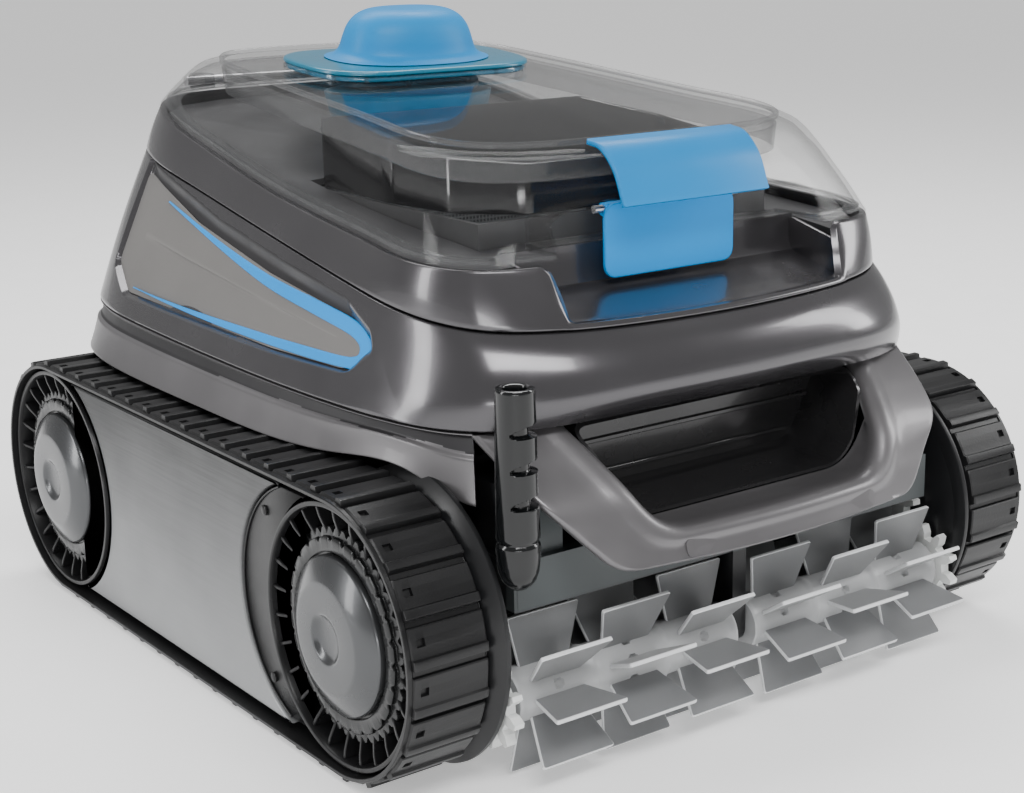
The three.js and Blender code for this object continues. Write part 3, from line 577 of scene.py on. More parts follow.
@dataclass(frozen=True)
class ClearPlastic(Finish):
    """Clear moulded plastic: nearly invisible face on, smoky and glossy where it is seen edge on."""

    face_alpha: float = 0.1
    rim_alpha: float = 0.75

    def dress(self, wiring: Wiring) -> None:
        """Drives the opacity by how far the surface turns from the eye.

        Args:
            wiring: the material under construction.
        """
        facing = wiring.node("ShaderNodeLayerWeight")
        facing.inputs["Blend"].default_value = 0.3
        alpha = wiring.ranged(facing.outputs["Facing"], 0.3, 0.95, self.face_alpha, self.rim_alpha)
        wiring.link(alpha, wiring.shader.inputs["Alpha"])
        wiring.shader.inputs["IOR"].default_value = 1.58
        wiring.shader.inputs["Specular IOR Level"].default_value = 0.8
        wiring.material.surface_render_method = "BLENDED"


@dataclass(frozen=True)
class SheetMetal(Finish):
    """A silver sheet with a long brushed grain, with painted shade that darkens it towards its top."""

    top_z: float = 0.124
    foot_z: float = 0.005

    def dress(self, wiring: Wiring) -> None:
        """Paints shade into the colour, darker up the sheet, and draws its brush lines along Y.

        Args:
            wiring: the material under construction.
        """
        _, _, z = wiring.height_split()
        lines = wiring.noise(wiring.object_place((1, 8, 420)), 3.0, 6)
        # painted shade: the colour falls to a dark tone from the sheet's foot to its top, standing in for how
        # the light falls on it
        painted_shade = wiring.ranged(z, self.foot_z, self.top_z, 1.0, 0.0)
        dark = tuple(c * 0.08 for c in self.colour)
        body = wiring.mix(painted_shade, dark, self.colour)
        streak = wiring.ranged(lines, 0.35, 0.65, 0.0, 0.06)
        pale = tuple(min(1.0, c * 1.25) for c in self.colour)
        wiring.link(wiring.mix(streak, body, pale), wiring.shader.inputs["Base Color"])
        wiring.bump(lines, 0.015)


@dataclass(frozen=True)
class BladeRubber(Finish):
    """Milky elastomer that lets light through, paler along its thin edges."""

    def dress(self, wiring: Wiring) -> None:
        """Adds light that passes under the skin and a pale rim.

        Args:
            wiring: the material under construction.
        """
        shader = wiring.shader
        shader.inputs["Subsurface Weight"].default_value = 0.35
        shader.inputs["Subsurface Radius"].default_value = (0.02, 0.02, 0.022)
        shader.inputs["Subsurface Scale"].default_value = 0.2
        shader.inputs["Transmission Weight"].default_value = 0.2
        shader.inputs["Sheen Weight"].default_value = 0.2


@dataclass(frozen=True)
class WovenScreen(Finish):
    """A fine filter screen: a plain weave of pale threads over dark gaps."""

    threads: float = 900.0

    def dress(self, wiring: Wiring) -> None:
        """Crosses two sets of threads: the larger of two sine waves along the length and the height.

        Args:
            wiring: the material under construction.
        """
        x, y, z = wiring.height_split()
        waves = []
        for along in (wiring.math("ADD", x, y), z):
            turned = wiring.math("MULTIPLY", along, self.threads * TAU / 2)
            waves.append(wiring.math("SINE", turned, 0.0))
        thread = wiring.math("MAXIMUM", waves[0], waves[1])
        cover = wiring.ranged(thread, 0.0, 0.7, 0.0, 1.0)
        dark = tuple(c * 0.25 for c in self.colour)
        wiring.link(wiring.mix(cover, dark, self.colour), wiring.shader.inputs["Base Color"])
        wiring.bump(thread, 0.3)


@dataclass(frozen=True)
class TubPlastic(Finish):
    """Black tub plastic whose nose over the brush is pale grey."""

    nose: Colour = (0.05, 0.058, 0.06)

    def dress(self, wiring: Wiring) -> None:
        """Takes the nose's colour in front of the tub's front wall, over the brush.

        Args:
            wiring: the material under construction.
        """
        _, y, z = wiring.height_split()
        ahead = wiring.ranged(y, (BASE_SHIFT - 190) * MM, (BASE_SHIFT - 189) * MM, 1.0, 0.0)
        above = wiring.ranged(z, 0.076, 0.0765, 0.0, 1.0)
        share = wiring.math("MULTIPLY", ahead, above)
        wiring.link(wiring.mix(share, self.colour, self.nose), wiring.shader.inputs["Base Color"])


class Finishes:
    """Every finish on the cleaner."""

    gunmetal = Finish("glossy_gunmetal", "gunmetal", (0.078, 0.075, 0.08), 0.24, 0.7, 0.05, coat=0.45,
                      grain=0.015)
    # painted shade: a near-black finish standing in for the shadow on the slope above the side cover and in
    # the groove under the crease
    painted_shade_band = Finish("painted_shade_band", "gunmetal", (0.022, 0.021, 0.023), 0.45, 0.3)
    satin_grey = Finish("satin_grey", "satin_grey", (0.15, 0.145, 0.15), 0.36, 0.6, 0.05, coat=0.15,
                        grain=0.02)
    matte_grey = Finish("matte_grey", "matte_grey", (0.14, 0.135, 0.13), 0.6, 0.1, 0.06, grain=0.12)
    black = Finish("black_plastic", "black_plastic", (0.007, 0.0072, 0.008), 0.36, edge=0.2, specular=0.4)
    tub = TubPlastic("tub_plastic", "black_plastic", (0.007, 0.0072, 0.008), 0.4, edge=0.2, specular=0.4)
    smoky = ClearPlastic("smoky_plastic", "black_plastic", (0.006, 0.006, 0.007), 0.12, face_alpha=0.86,
                         rim_alpha=0.97)
    deck = Finish("deck_grey", "black_plastic", (0.03, 0.03, 0.032), 0.4)
    rubber = Finish("track_rubber", "track_rubber", (0.007, 0.007, 0.0075), 0.36, grain=0.15, mottle=0.25,
                    edge=0.6, specular=0.34)
    wheel = Finish("wheel_plastic", "wheel_black", (0.005, 0.005, 0.0055), 0.3, grain=0.05, edge=0.8,
                   specular=0.24)
    disc = Finish("wheel_disc", "wheel_black", (0.014, 0.0145, 0.015), 0.25, 0.4, grain=0.04)
    hub = Finish("hub_grey", "hub_grey", (0.07, 0.072, 0.075), 0.28, 0.7, 0.05, coat=0.3, grain=0.02)
    plate = SheetMetal("silver_sheet", "silver_plate", (0.3, 0.305, 0.31), 0.42, 0.25, grain=0.015)
    blue = Finish("bright_blue", "accent_blue", (0.0, 0.23, 0.56), 0.4, 0.0, 0.04, grain=0.02, edge=0.1,
                  specular=0.22)
    flap_blue = Finish("flap_blue", "accent_blue", (0.0, 0.3, 0.78), 0.45, 0.0, 0.04, grain=0.02, edge=0.1,
                       specular=0.2)
    cover_blue = Finish("cover_blue", "accent_blue", (0.0, 0.2, 0.5), 0.4, 0.0, 0.04, grain=0.02, edge=0.1,
                        specular=0.22)
    plate_blue = Finish("outlet_blue", "accent_blue", (0.0, 0.15, 0.25), 0.28, 0.0, 0.06, coat=0.2,
                        grain=0.02)
    stripe_blue = Finish("stripe_blue", "accent_blue", (0.0, 0.26, 0.7), 0.45, 0.0, 0.03, grain=0.02,
                         edge=0.1, specular=0.2)
    clear = ClearPlastic("clear_lid", "clear_lid", (0.03, 0.03, 0.031), 0.03, grain=0.0, face_alpha=0.07,
                         rim_alpha=0.55)
    clear_edge = ClearPlastic("clear_lid_edges", "clear_lid", (0.1, 0.102, 0.105), 0.06, face_alpha=0.22,
                              rim_alpha=0.75)
    gloss_black = Finish("gloss_black", "gloss_black", (0.004, 0.0045, 0.005), 0.16, 0.0, 0.2, coat=0.15,
                         grain=0.01, edge=0.2, specular=0.4)
    seal = Finish("seal_rubber", "seal_rubber", (0.02, 0.02, 0.022), 0.6)
    blade = BladeRubber("blade_rubber", "brush_blade", (0.17, 0.174, 0.178), 0.35, 0.0, 0.1, edge=0.9)
    gear = Finish("gear_acetal", "gear_white", (0.6, 0.61, 0.6), 0.45)
    steel = Finish("bright_steel", "steel", (0.5, 0.5, 0.51), 0.28, 1.0, stretch=(1, 40, 40))
    liner = Finish("slot_liner", "gunmetal", (0.018, 0.0175, 0.0185), 0.25, 0.4, coat=0.4)
    band_blue = ClearPlastic("glass_blue", "accent_blue", (0.03, 0.2, 0.33), 0.1, face_alpha=0.65,
                             rim_alpha=0.95)
    duct_blue = Finish("duct_blue", "accent_blue", (0.0, 0.17, 0.3), 0.35, coat=0.2)
    blade_edge = Finish("blade_edge", "brush_blade", (0.62, 0.63, 0.64), 0.35, mottle=0.03)
    core = Finish("brush_core", "brush_blade", (0.36, 0.365, 0.37), 0.4, mottle=0.05)
    basket = Finish("basket_grey", "matte_grey", (0.06, 0.06, 0.062), 0.45)
    screen = WovenScreen("woven_screen", "screen", (0.1, 0.105, 0.11), 0.7)


# ---------------------------------------------------------------- pieces
MERGE_GAP = 2e-6  # metres between points that become one
SLIVER = 1e-7  # metres under which an edge is dissolved


def build(
    name: str, surface: Surface, finish: Finish, body: str, replaces: Sequence[str] = (), crease: float = 38.0
) -> bpy.types.Object:
    """Makes a surface into a piece of the cleaner that rides on a body.

    Args:
        name: the piece's name.
        surface: its shape, in millimetres.
        finish: its finish.
        body: the CAD body that it rides on.
        replaces: the CAD nodes that it stands for.
        crease: edges that turn by more than this many degrees stay sharp.

    Returns:
        The new object.
    """
    mesh = bpy.data.meshes.new(name)
    points = (surface.points + (0, BASE_SHIFT, 0)) * MM
    mesh.from_pydata(points, [], surface.quads.tolist() + surface.flats)
    work = bmesh.new()
    work.from_mesh(mesh)
    bmesh.ops.remove_doubles(work, verts=work.verts, dist=MERGE_GAP)
    bmesh.ops.dissolve_degenerate(work, edges=work.edges, dist=SLIVER)
    bmesh.ops.recalc_face_normals(work, faces=work.faces)
    limit = math.radians(crease)
    for edge in work.edges:
        edge.smooth = len(edge.link_faces) == 2 and edge.calc_face_angle(0) < limit
    for face in work.faces:
        face.smooth = True
    work.to_mesh(mesh)
    work.free()
    mesh.materials.append(finish.material())
    piece = bpy.data.objects.new(name, mesh)
    bpy.context.scene.collection.objects.link(piece)
    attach(piece, body)
    if replaces:
        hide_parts(*replaces)
    LOG.info("%s: %d faces on %s", name, len(mesh.polygons), body)
    return piece


def second_finish(piece: bpy.types.Object, finish: Finish, chosen: Callable[[Array], Array]) -> None:
    """Gives a second finish to the faces whose centres, in millimetres, a test picks.

    Args:
        piece: the piece to dress.
        finish: its second finish.
        chosen: tells from the (x, y, z) centres which faces take it.
    """
    piece.data.materials.append(finish.material())
    centres = np.zeros(len(piece.data.polygons) * 3)
    piece.data.polygons.foreach_get("center", centres)
    picked = chosen(centres.reshape(-1, 3) / MM - (0, BASE_SHIFT, 0))
    piece.data.polygons.foreach_set("material_index", picked.astype(np.int32))


def dress_node(node: str, finish: Finish) -> None:
    """Gives a kept CAD node its finish.

    Args:
        node: the node's name.
        finish: its finish.
    """
    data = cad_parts[node].data
    data.materials.clear()
    data.materials.append(finish.material())


def split_band(rings: Array, start: int, count: int) -> Surface:
    """Part of a closed band: its cross-sections from a start, wrapped round and capped at both ends.

    Args:
        rings: an array of rows by columns by 3.
        start: the first column kept.
        count: how many columns are kept.

    Returns:
        The capped part.
    """
    picked = np.roll(rings, -start, axis=1)[:, :count]
    return closed_stack(picked.transpose(1, 0, 2))


def draped(outline: Array, spine: Array, drape: Callable[[Array, float], Array], thick: float) -> Surface:
    """A thin plate laid on a surface: its outline shrinks in steps towards a spine, with a rounded rim.

    Args:
        outline: the (u, v) points around the plate.
        spine: for each of them, the point it shrinks towards.
        drape: gives the 3-D points for (u, v) points and a depth below the face.
        thick: the plate's thickness.

    Returns:
        The closed plate.
    """
    steps = [(1.0, thick), (1.0, 0.35 * thick), (0.994, 0.1 * thick), (0.986, 0.0)]
    steps += [(share, 0.0) for share in np.linspace(0.9, 0, 12)] + [(0.0, thick), (0.6, thick)]
    rings = [drape(spine + (outline - spine) * share, depth) for share, depth in steps]
    return grid(np.stack(rings), wrap_rows=True, wrap_columns=True)


# ---------------------------------------------------------------- body shells
Height = Callable[[Array], Array]


def section(half: Sequence[Sequence[float]], height: Height, samples: int | Sequence[int]) -> Array:
    """A ring round the body from its right half's (x, y) points, at a height that depends on y.

    Args:
        half: the right half's (x, y) points, from the middle of the front to the rear.
        height: gives z from y.
        samples: points to return, in all or after each knot.

    Returns:
        The ring's points.
    """
    right = np.asarray(half, float)
    both = np.concatenate([right, right[-2:0:-1] * (-1, 1)])
    knots = np.column_stack([both, height(both[:, 1])])
    return closed_spline(knots, samples)


SIDE_SHARES = (16, 14, 12, 20, 46, 96, 96, 56, 34, 12, 12)


def outwards(ring: Array) -> Array:
    """Unit vectors square to a ring as seen from above, pointing out of it.

    Args:
        ring: the ring's points in order.

    Returns:
        A vector for each point.
    """
    along = np.roll(ring, -1, axis=0) - np.roll(ring, 1, axis=0)
    normal = np.stack([along[:, 1], -along[:, 0], np.zeros(len(ring))], axis=1)
    return normal / np.linalg.norm(normal, axis=1, keepdims=True)


SKIRT_HALF = [(0, -192), (60, -191), (104, -187), (131, -173), (145, -147), (155, -104), (166.5, 0),
              (165.5, 95), (158, 148), (140, 182), (72, 194), (0, 195)]
CREASE_HALF = [(0, -190), (60, -189), (103, -185), (130, -170), (144, -143), (152, -100), (157, 0), (156, 95),
               (150, 148), (133, 181), (70, 191), (0, 192)]
CASING_TOP_HALF = [(0, -187), (50, -184.5), (94, -176), (119, -162), (131.5, -138), (134.5, -95), (130, 0),
                   (124.5, 95), (119, 143), (104, 173), (58, 184), (0, 187)]
LID_EDGE_HALF = [(0, -173), (50, -172), (91, -168), (116, -159), (127.5, -140), (127.5, -95), (122, 5),
                 (116, 95), (111, 141), (98, 165), (55, 175), (0, 176)]
LID_TOP_HALF = [(0, -142), (40, -142), (74, -138), (99, -124), (110, -98), (108, -60), (104, 0), (98, 90),
                (93, 122), (78, 145), (40, 154), (0, 154)]


def skirt_height(y: Array) -> Array:
    """The skirt's lower edge: level, and dropping at the front corners."""
    return 131 - 14 * smoothstep(-y, 150, 180)


def crease_height(y: Array) -> Array:
    """The crease between skirt and casing."""
    return 153.5 + 0.02 * y


def casing_top_height(y: Array) -> Array:
    """The seam between casing and shoulder."""
    return 213 + 0.138 * y


def lid_edge_height(y: Array) -> Array:
    """The seam between shoulder and lid, curving up to the rear."""
    return 229.7 + 0.1376 * y + 0.000316 * y * y


def lid_top_height(y: Array) -> Array:
    """The lid's sloping top."""
    return 271 + 0.084 * y


@dataclass
class Band:
    """A shell between two rings: a lofted outer face, a wall inside it and rounded lips at both rims."""

    low: Array
    high: Array
    swell: Callable[[Array, Array], Array]
    wall: float = 3.0
    rows: int = 30
    lip: float = 0.8
    bend_row: float = 0.15
    bend_share: Array | float = 0.15

    def face(self, row: float, inwards: float = 0.0) -> Array:
        """The ring at a row: both rims mixed, then pushed out by the swell.

        The share of the upper rim rises evenly to bend_share at bend_row, and evenly from there to 1, so
        that one row can follow an edge across the shell.

        Args:
            row: the row's place, from 0 at the lower rim to 1 at the upper.
            inwards: how far the ring is set in.

        Returns:
            The ring's points.
        """
        bend = np.broadcast_to(self.bend_share, len(self.low))
        above = bend + (row - self.bend_row) / (1 - self.bend_row) * (1 - bend)
        share = np.where(row < self.bend_row, row / self.bend_row * bend, above)
        ring = self.low * (1 - share[:, None]) + self.high * share[:, None]
        return ring + outwards(ring) * (self.swell(ring, share) - inwards)[:, None]

    def surface(self) -> Surface:
        """The closed shell all the way round."""
        return grid(self.rings(), wrap_rows=True, wrap_columns=True)

    def rings(self) -> Array:
        """Its rings: rows up the outside, a quarter-round lip, rows down the inside, and a lip.

        Returns:
            An array of rings by columns by 3.
        """
        turn = np.linspace(0, math.pi / 2, 4)
        height = np.linalg.norm(self.high - self.low, axis=1).mean()
        share = self.lip / height
        lip_in = self.lip * (1 - np.cos(turn))
        lip_at = share * (1 - np.sin(turn))
        rings = [self.face(s, i) for s, i in zip(lip_at[::-1], lip_in[::-1])]
        rings += [self.face(s) for s in np.linspace(share, 1 - share, self.rows)[1:-1]]
        rings += [self.face(1 - s, i) for s, i in zip(lip_at, lip_in)]
        rings += [self.face(s, self.wall) for s in np.linspace(1, 0, 6)]
        return np.stack(rings)


@dataclass
class BodyShells:
    """The skirt, the casing with its sunk side panels, the shoulder ring and the latch pocket."""

    recess_depth: float = 3.2
    groove_depth: float = 2.2
    gap: float = 0.7
    cover_lift: float = 1.0
    stripe_lift: float = 0.45
    plain_foot: float = 0.15

    bumper: tuple = ((0, 0), (0.1, 5.5), (0.3, 12), (0.5, 12.6), (0.72, 10), (0.9, 5), (1, 0))
    cover: tuple = ((142, 236), (145.2, 178), (118, 165.5), (-39, 164), (-104, 165), (-119, 176), (-113, 186),
                    (-88, 196), (-33, 203), (45, 214), (130, 231))
    cover_foot: tuple = ((-119, 176), (-104, 165), (-39, 164), (118, 165.5), (145.2, 178))
    cover_top: tuple = ((-113, 186), (-88, 196), (-33, 203), (45, 214), (130, 231), (143, 236))
    floor_top: tuple = ((-116, 178), (-88, 188.5), (-16, 196.5), (66, 209), (116, 221), (143, 227))
    stripe_outer: tuple = ((103, 214.5), (36, 202.6), (-17, 195), (-63, 190.6), (-96, 186.8), (-110, 181.6),
                           (-114.5, 175.5), (-110, 168.6), (-97, 166.8), (-39, 166.6), (33, 167.6),
                           (112, 170.4))
    stripe_inner: tuple = ((103, 214), (36, 199.8), (-17, 190.2), (-63, 184.9), (-92, 181.4), (-103, 178.6),
                           (-106.4, 175.2), (-103.6, 172.4), (-90, 171.2), (-35, 170.5), (33, 169.6),
                           (112, 170))

    def rings(self) -> dict[str, Array]:
        """The rings that the shells are lofted between.

        Returns:
            A ring for each seam, by name.
        """
        heights = {
            "skirt": (SKIRT_HALF, skirt_height),
            "crease": (CREASE_HALF, crease_height),
            "casing_top": (CASING_TOP_HALF, casing_top_height),
            "lid_edge": (LID_EDGE_HALF, lid_edge_height),
        }
        shares = (*SIDE_SHARES, *SIDE_SHARES[::-1])
        return {name: section(half, height, shares) for name, (half, height) in heights.items()}

    def recess(self, y: Array, z: Array) -> Array:
        """How deep the side panel is sunk at (y, z): full inside, with a wide slope along its top edge.

        Args:
            y: the points' y.
            z: the points' z.

        Returns:
            A depth for each point, 0 outside the panel.
        """
        outline = rounded(self.cover, 5, 5)
        a, b = outline, np.roll(outline, -1, axis=0)
        p = np.stack([y, z], axis=-1)[..., None, :]
        along = b - a
        t = np.clip(((p - a) * along).sum(-1) / (along**2).sum(-1), 0, 1)
        distance = np.linalg.norm(p - a - t[..., None] * along, axis=-1).min(-1)
        crosses = (a[:, 1] > p[..., 1]) != (b[:, 1] > p[..., 1])
        with np.errstate(divide="ignore", invalid="ignore"):
            meet = a[:, 0] + (p[..., 1] - a[:, 1]) / (b[:, 1] - a[:, 1]) * along[:, 0]
        inside = (crosses & (p[..., 0] < meet)).sum(-1) % 2 == 1
        top = np.interp(y, *np.transpose(self.cover_top)) - z
        width = 1.3 + 4.5 * smoothstep(-y, 98, 112)
        share = np.minimum(smoothstep(distance / width, 0, 1), smoothstep(top, 0, 7.5))
        return np.where(inside, self.recess_depth * share, 0)

    def casing_swell(self, ring: Array, share: Array) -> Array:
        """The casing's crown, the bumper that stands out at its front, and its sunk sides.

        Args:
            ring: the points before the swell.
            share: each point's share of the height.

        Returns:
            How far each point stands out.
        """
        front = smoothstep(-ring[:, 1], 120, 175) * np.clip(1 - (ring[:, 0] / 150) ** 2, 0, 1)
        rise = curve_through(self.bumper, share)
        crown = 1.2 * np.sin(np.pi * share)
        return front * rise + crown - self.recess(ring[:, 1], ring[:, 2]) * (np.abs(ring[:, 0]) > 90)

    def recess_foot(self, low: Array, high: Array) -> Array:
        """The share of the casing's height at which each column meets the sunk panel's lower edge.

        The column's y is found from its share, and its share from the edge's height there, four times over.

        Args:
            low: the casing's lower ring.
            high: its upper ring.

        Returns:
            A share for each column, 0.15 where there is no panel.
        """
        share = np.full(len(low), self.plain_foot)
        for _ in range(4):
            y = low[:, 1] * (1 - share) + high[:, 1] * share
            share = (np.interp(y, *np.transpose(self.cover_foot)) - low[:, 2]) / (high[:, 2] - low[:, 2])
        beside = smoothstep(y, -140, -121) * (1 - smoothstep(y, 147, 170)) * (np.abs(low[:, 0]) > 90)
        return self.plain_foot + (share - self.plain_foot) * beside

    def wall_x(self) -> Callable[[Array, Array, float], Array]:
        """The casing side's x at (y, z): a polynomial fitted by least squares to its loft.

        Returns:
            A function of y, z and the depth below the crown.
        """
        rings = self.rings()
        low, high = rings["crease"], rings["casing_top"]
        share = np.linspace(0, 1, 30)[:, None, None]
        loft = low * (1 - share) + high * share
        near = (loft[..., 0] > 0) & (loft[..., 1] > -135) & (loft[..., 1] < 160)
        x, y, z = loft[near].T
        powers = [(i, j) for i in range(6) for j in range(3)]

        def terms(y: Array, z: Array) -> Array:
            """The products of powers that the fit weighs."""
            return np.stack([(y / 150) ** i * ((z - 185) / 40) ** j for i, j in powers], axis=-1)

        weights = np.linalg.lstsq(terms(y, z), x, rcond=None)[0]

        def at(y: Array, z: Array, sunk: float) -> Array:
            """The wall's x, sunk by a depth below its crown."""
            crown = 1.2 * np.sin(np.pi * np.clip((z - 153) / (60 + 0.12 * y), 0, 1))
            return terms(y, z) @ weights + crown - sunk

        return at

    def patch(self, outline: Array, sunk: float, thick: float) -> Surface:
        """A plate on the casing's side: an outline shrunk in steps towards its own spine, laid on the wall.

        Args:
            outline: the (y, z) points around it.
            sunk: how far its face lies below the casing.
            thick: its thickness.

        Returns:
            The closed plate, on the right side.
        """
        wall = self.wall_x()
        spine_y = np.clip(outline[:, 0], -88, 118)
        spine = np.stack([spine_y, np.interp(spine_y, (-88, 118), (178, 196))], axis=1)
        rows = [(1.0, thick), (1.0, 0.5), (0.993, 0.15), (0.985, 0.0),
                *((s, 0.0) for s in np.linspace(0.9, 0, 10))]
        rows += [(0.0, thick), (0.6, thick)]
        rings = []
        for share, depth in rows:
            at = spine + (outline - spine) * share
            rings.append(np.column_stack([wall(at[:, 0], at[:, 1], sunk + depth), at]))
        return grid(np.stack(rings), wrap_rows=True, wrap_columns=True)

    def stripe(self) -> Surface:
        """The V-shaped stripe: a thin strip between its outer and inner edge, rounded across.

        Returns:
            The closed strip, on the right side.
        """
        wall = self.wall_x()
        knots = np.arange(len(self.stripe_outer), dtype=float)
        at = np.linspace(0, knots[-1], 150)

        def edge(points: tuple) -> Array:
            """A smooth edge through its points."""
            return np.stack([curve_through(np.column_stack([knots, c]), at) for c in np.transpose(points)],
                            axis=1)

        outer, inner = edge(self.stripe_outer), edge(self.stripe_inner)
        sunk = self.recess_depth - self.cover_lift - self.stripe_lift
        rings = []
        for share, depth in ((0, 1.1), (0, 0.35), (0.06, 0.08), (0.2, 0), (0.8, 0), (0.94, 0.08),
                             (1, 0.35), (1, 1.1)):
            line = outer * (1 - share) + inner * share
            rings.append(np.column_stack([wall(line[:, 0], line[:, 1], sunk + depth), line]))
        return grid(np.stack(rings), wrap_rows=True)

    def floor_outline(self) -> Array:
        """The side cover's outline: the sunk area without its slopes.

        Returns:
            Its (y, z) points.
        """
        low = [(140.6, 225.3), (143.2, 179), (117.5, 167), (-39, 165.4), (-99, 166.2), (-114.5, 175)]
        top = [(-110, 181.5), (-88, 187.8), (-16, 195.7), (66, 208.2), (116, 220.2)]
        return rounded(low + top, 4, 5)

    def pocket(self) -> Surface:
        """The latch pocket: a floor that rises to the rear, a fillet, and a back wall, between two cheeks.

        Returns:
            The closed pocket with its cheeks.
        """
        half = 87.0
        floor = [(-186.5, 187.4), (-184, 188.8), (-176, 190), (-160, 193.5), (-146, 196.2), (-139.6, 198.2),
                 (-137.4, 202), (-136.9, 215.5), (-134.7, 215.5), (-134.7, 200), (-139, 194.4),
                 (-160, 190.2), (-176, 186.8), (-184, 185.4)]
        profile = np.asarray(floor, float)
        across = half * np.sin(np.linspace(-math.pi / 2, math.pi / 2, 40))
        bow = 2.2 * (across / half) ** 2
        rings = np.zeros((len(across), len(profile), 3))
        rings[..., 0] = across[:, None]
        rings[..., 1] = profile[None, :, 0] + np.where(profile[None, :, 0] < -170, bow[:, None] * 4.6, 0)
        rings[..., 2] = profile[None, :, 1] + np.where(profile[None, :, 0] < -170, bow[:, None] * 0.5, 0)
        cheek = rounded([(-174, 189), (-168, 207), (-137, 214.5), (-135, 196)], 3, 3)
        cheeks = [prism(cheek, Axis.X, half - 2.4, half, 0.6, 2).on(side) for side in Side]
        return joined([closed_stack(rings), *cheeks])

    def open_band(self, band: Band, kept: Array) -> Surface:
        """A band without part of its round: the kept run of columns, capped at its two ends.

        Args:
            band: the band to open.
            kept: whether each column stays.

        Returns:
            The capped band.
        """
        rings = band.rings()
        start = int(np.argmax(kept & ~np.roll(kept, 1)))
        return split_band(rings, start, int(kept.sum()))

    def build(self) -> None:
        """Makes every shell."""
        rings = self.rings()
        up = np.array([0, 0, self.gap])

        def skirt_swell(ring: Array, share: Array) -> Array:
            """A slightly hollow skirt with a groove under the crease."""
            groove = smoothstep(share, 0.62, 0.72) * (1 - smoothstep(share, 0.93, 1.0))
            return -0.8 * np.sin(np.pi * share) - self.groove_depth * groove

        skirt_band = Band(rings["skirt"], rings["crease"] - up, skirt_swell, 3.0, 40)
        middle = (rings["skirt"] + rings["crease"]) / 2
        skirt = self.open_band(skirt_band, ~((np.abs(middle[:, 0]) < 128) & (middle[:, 1] < -140)))
        piece = build("lower_skirt_shell", skirt, Finishes.satin_grey, "chassis", ["lower_skirt"])
        # painted shade: the groove under the crease takes the near-black finish
        second_finish(piece, Finishes.painted_shade_band, self.in_groove)
        foot, top = rings["crease"] + up * 0.3, rings["casing_top"] - up
        casing = Band(foot, top, self.casing_swell, 7.0, 100, bend_share=self.recess_foot(foot, top))
        piece = build("upper_casing_shell", casing.surface(), Finishes.gunmetal, "chassis", ["upper_casing"])
        # painted shade: the slope above the side cover takes the near-black finish
        second_finish(piece, Finishes.painted_shade_band, self.in_band)
        low = rings["casing_top"] + up * 0.3
        dip = ((1 - smoothstep(np.abs(low[:, 0]), 80, 90)) * (low[:, 1] < -120))[:, None]
        high = (rings["lid_edge"] - up) * (1 - dip) + (low + (0, 1.6, 2.4)) * dip
        shoulder = Band(low, high, lambda ring, share: 0.7 * np.sin(np.pi * share), 3.2, 14)
        build("shoulder_ring_shell", shoulder.surface(), Finishes.gunmetal, "chassis", ["shoulder_ring"])
        build("latch_pocket_scoop", self.pocket(), Finishes.gunmetal, "chassis", ["latch_pocket"])
        cover = self.patch(self.floor_outline(), self.recess_depth - self.cover_lift, 0.9)
        for side in Side:
            word = side.word
            build(f"side_cover_{word}_plate", cover.on(side), Finishes.matte_grey, "chassis",
                  [f"side_cover_{word}"])
            build(f"side_stripe_{word}_strip", self.stripe().on(side), Finishes.stripe_blue, "chassis",
                  [f"side_stripe_{word}"])

    def in_groove(self, at: Array) -> Array:
        """Whether a point lies in the groove under the crease, which takes painted shade.

        Args:
            at: the (x, y, z) points.

        Returns:
            A truth value for each point.
        """
        up = (at[:, 2] - skirt_height(at[:, 1])) / (crease_height(at[:, 1]) - skirt_height(at[:, 1]))
        return (up > 0.67) & (up < 0.95) & (np.abs(at[:, 0]) > 100)

    def in_band(self, at: Array) -> Array:
        """Whether a point lies on the slope above the side cover, or in its sunk floor: where painted shade
        goes.

        Args:
            at: the (x, y, z) points.

        Returns:
            A truth value for each point.
        """
        y, z = at[:, 1], at[:, 2]
        top = np.interp(y, *np.transpose(self.cover_top))
        floor = np.interp(y, *np.transpose(self.floor_top))
        return (z > floor - 1) & (z < top - 0.4) & (y > -92) & (y < 141) & (np.abs(at[:, 0]) > 100)


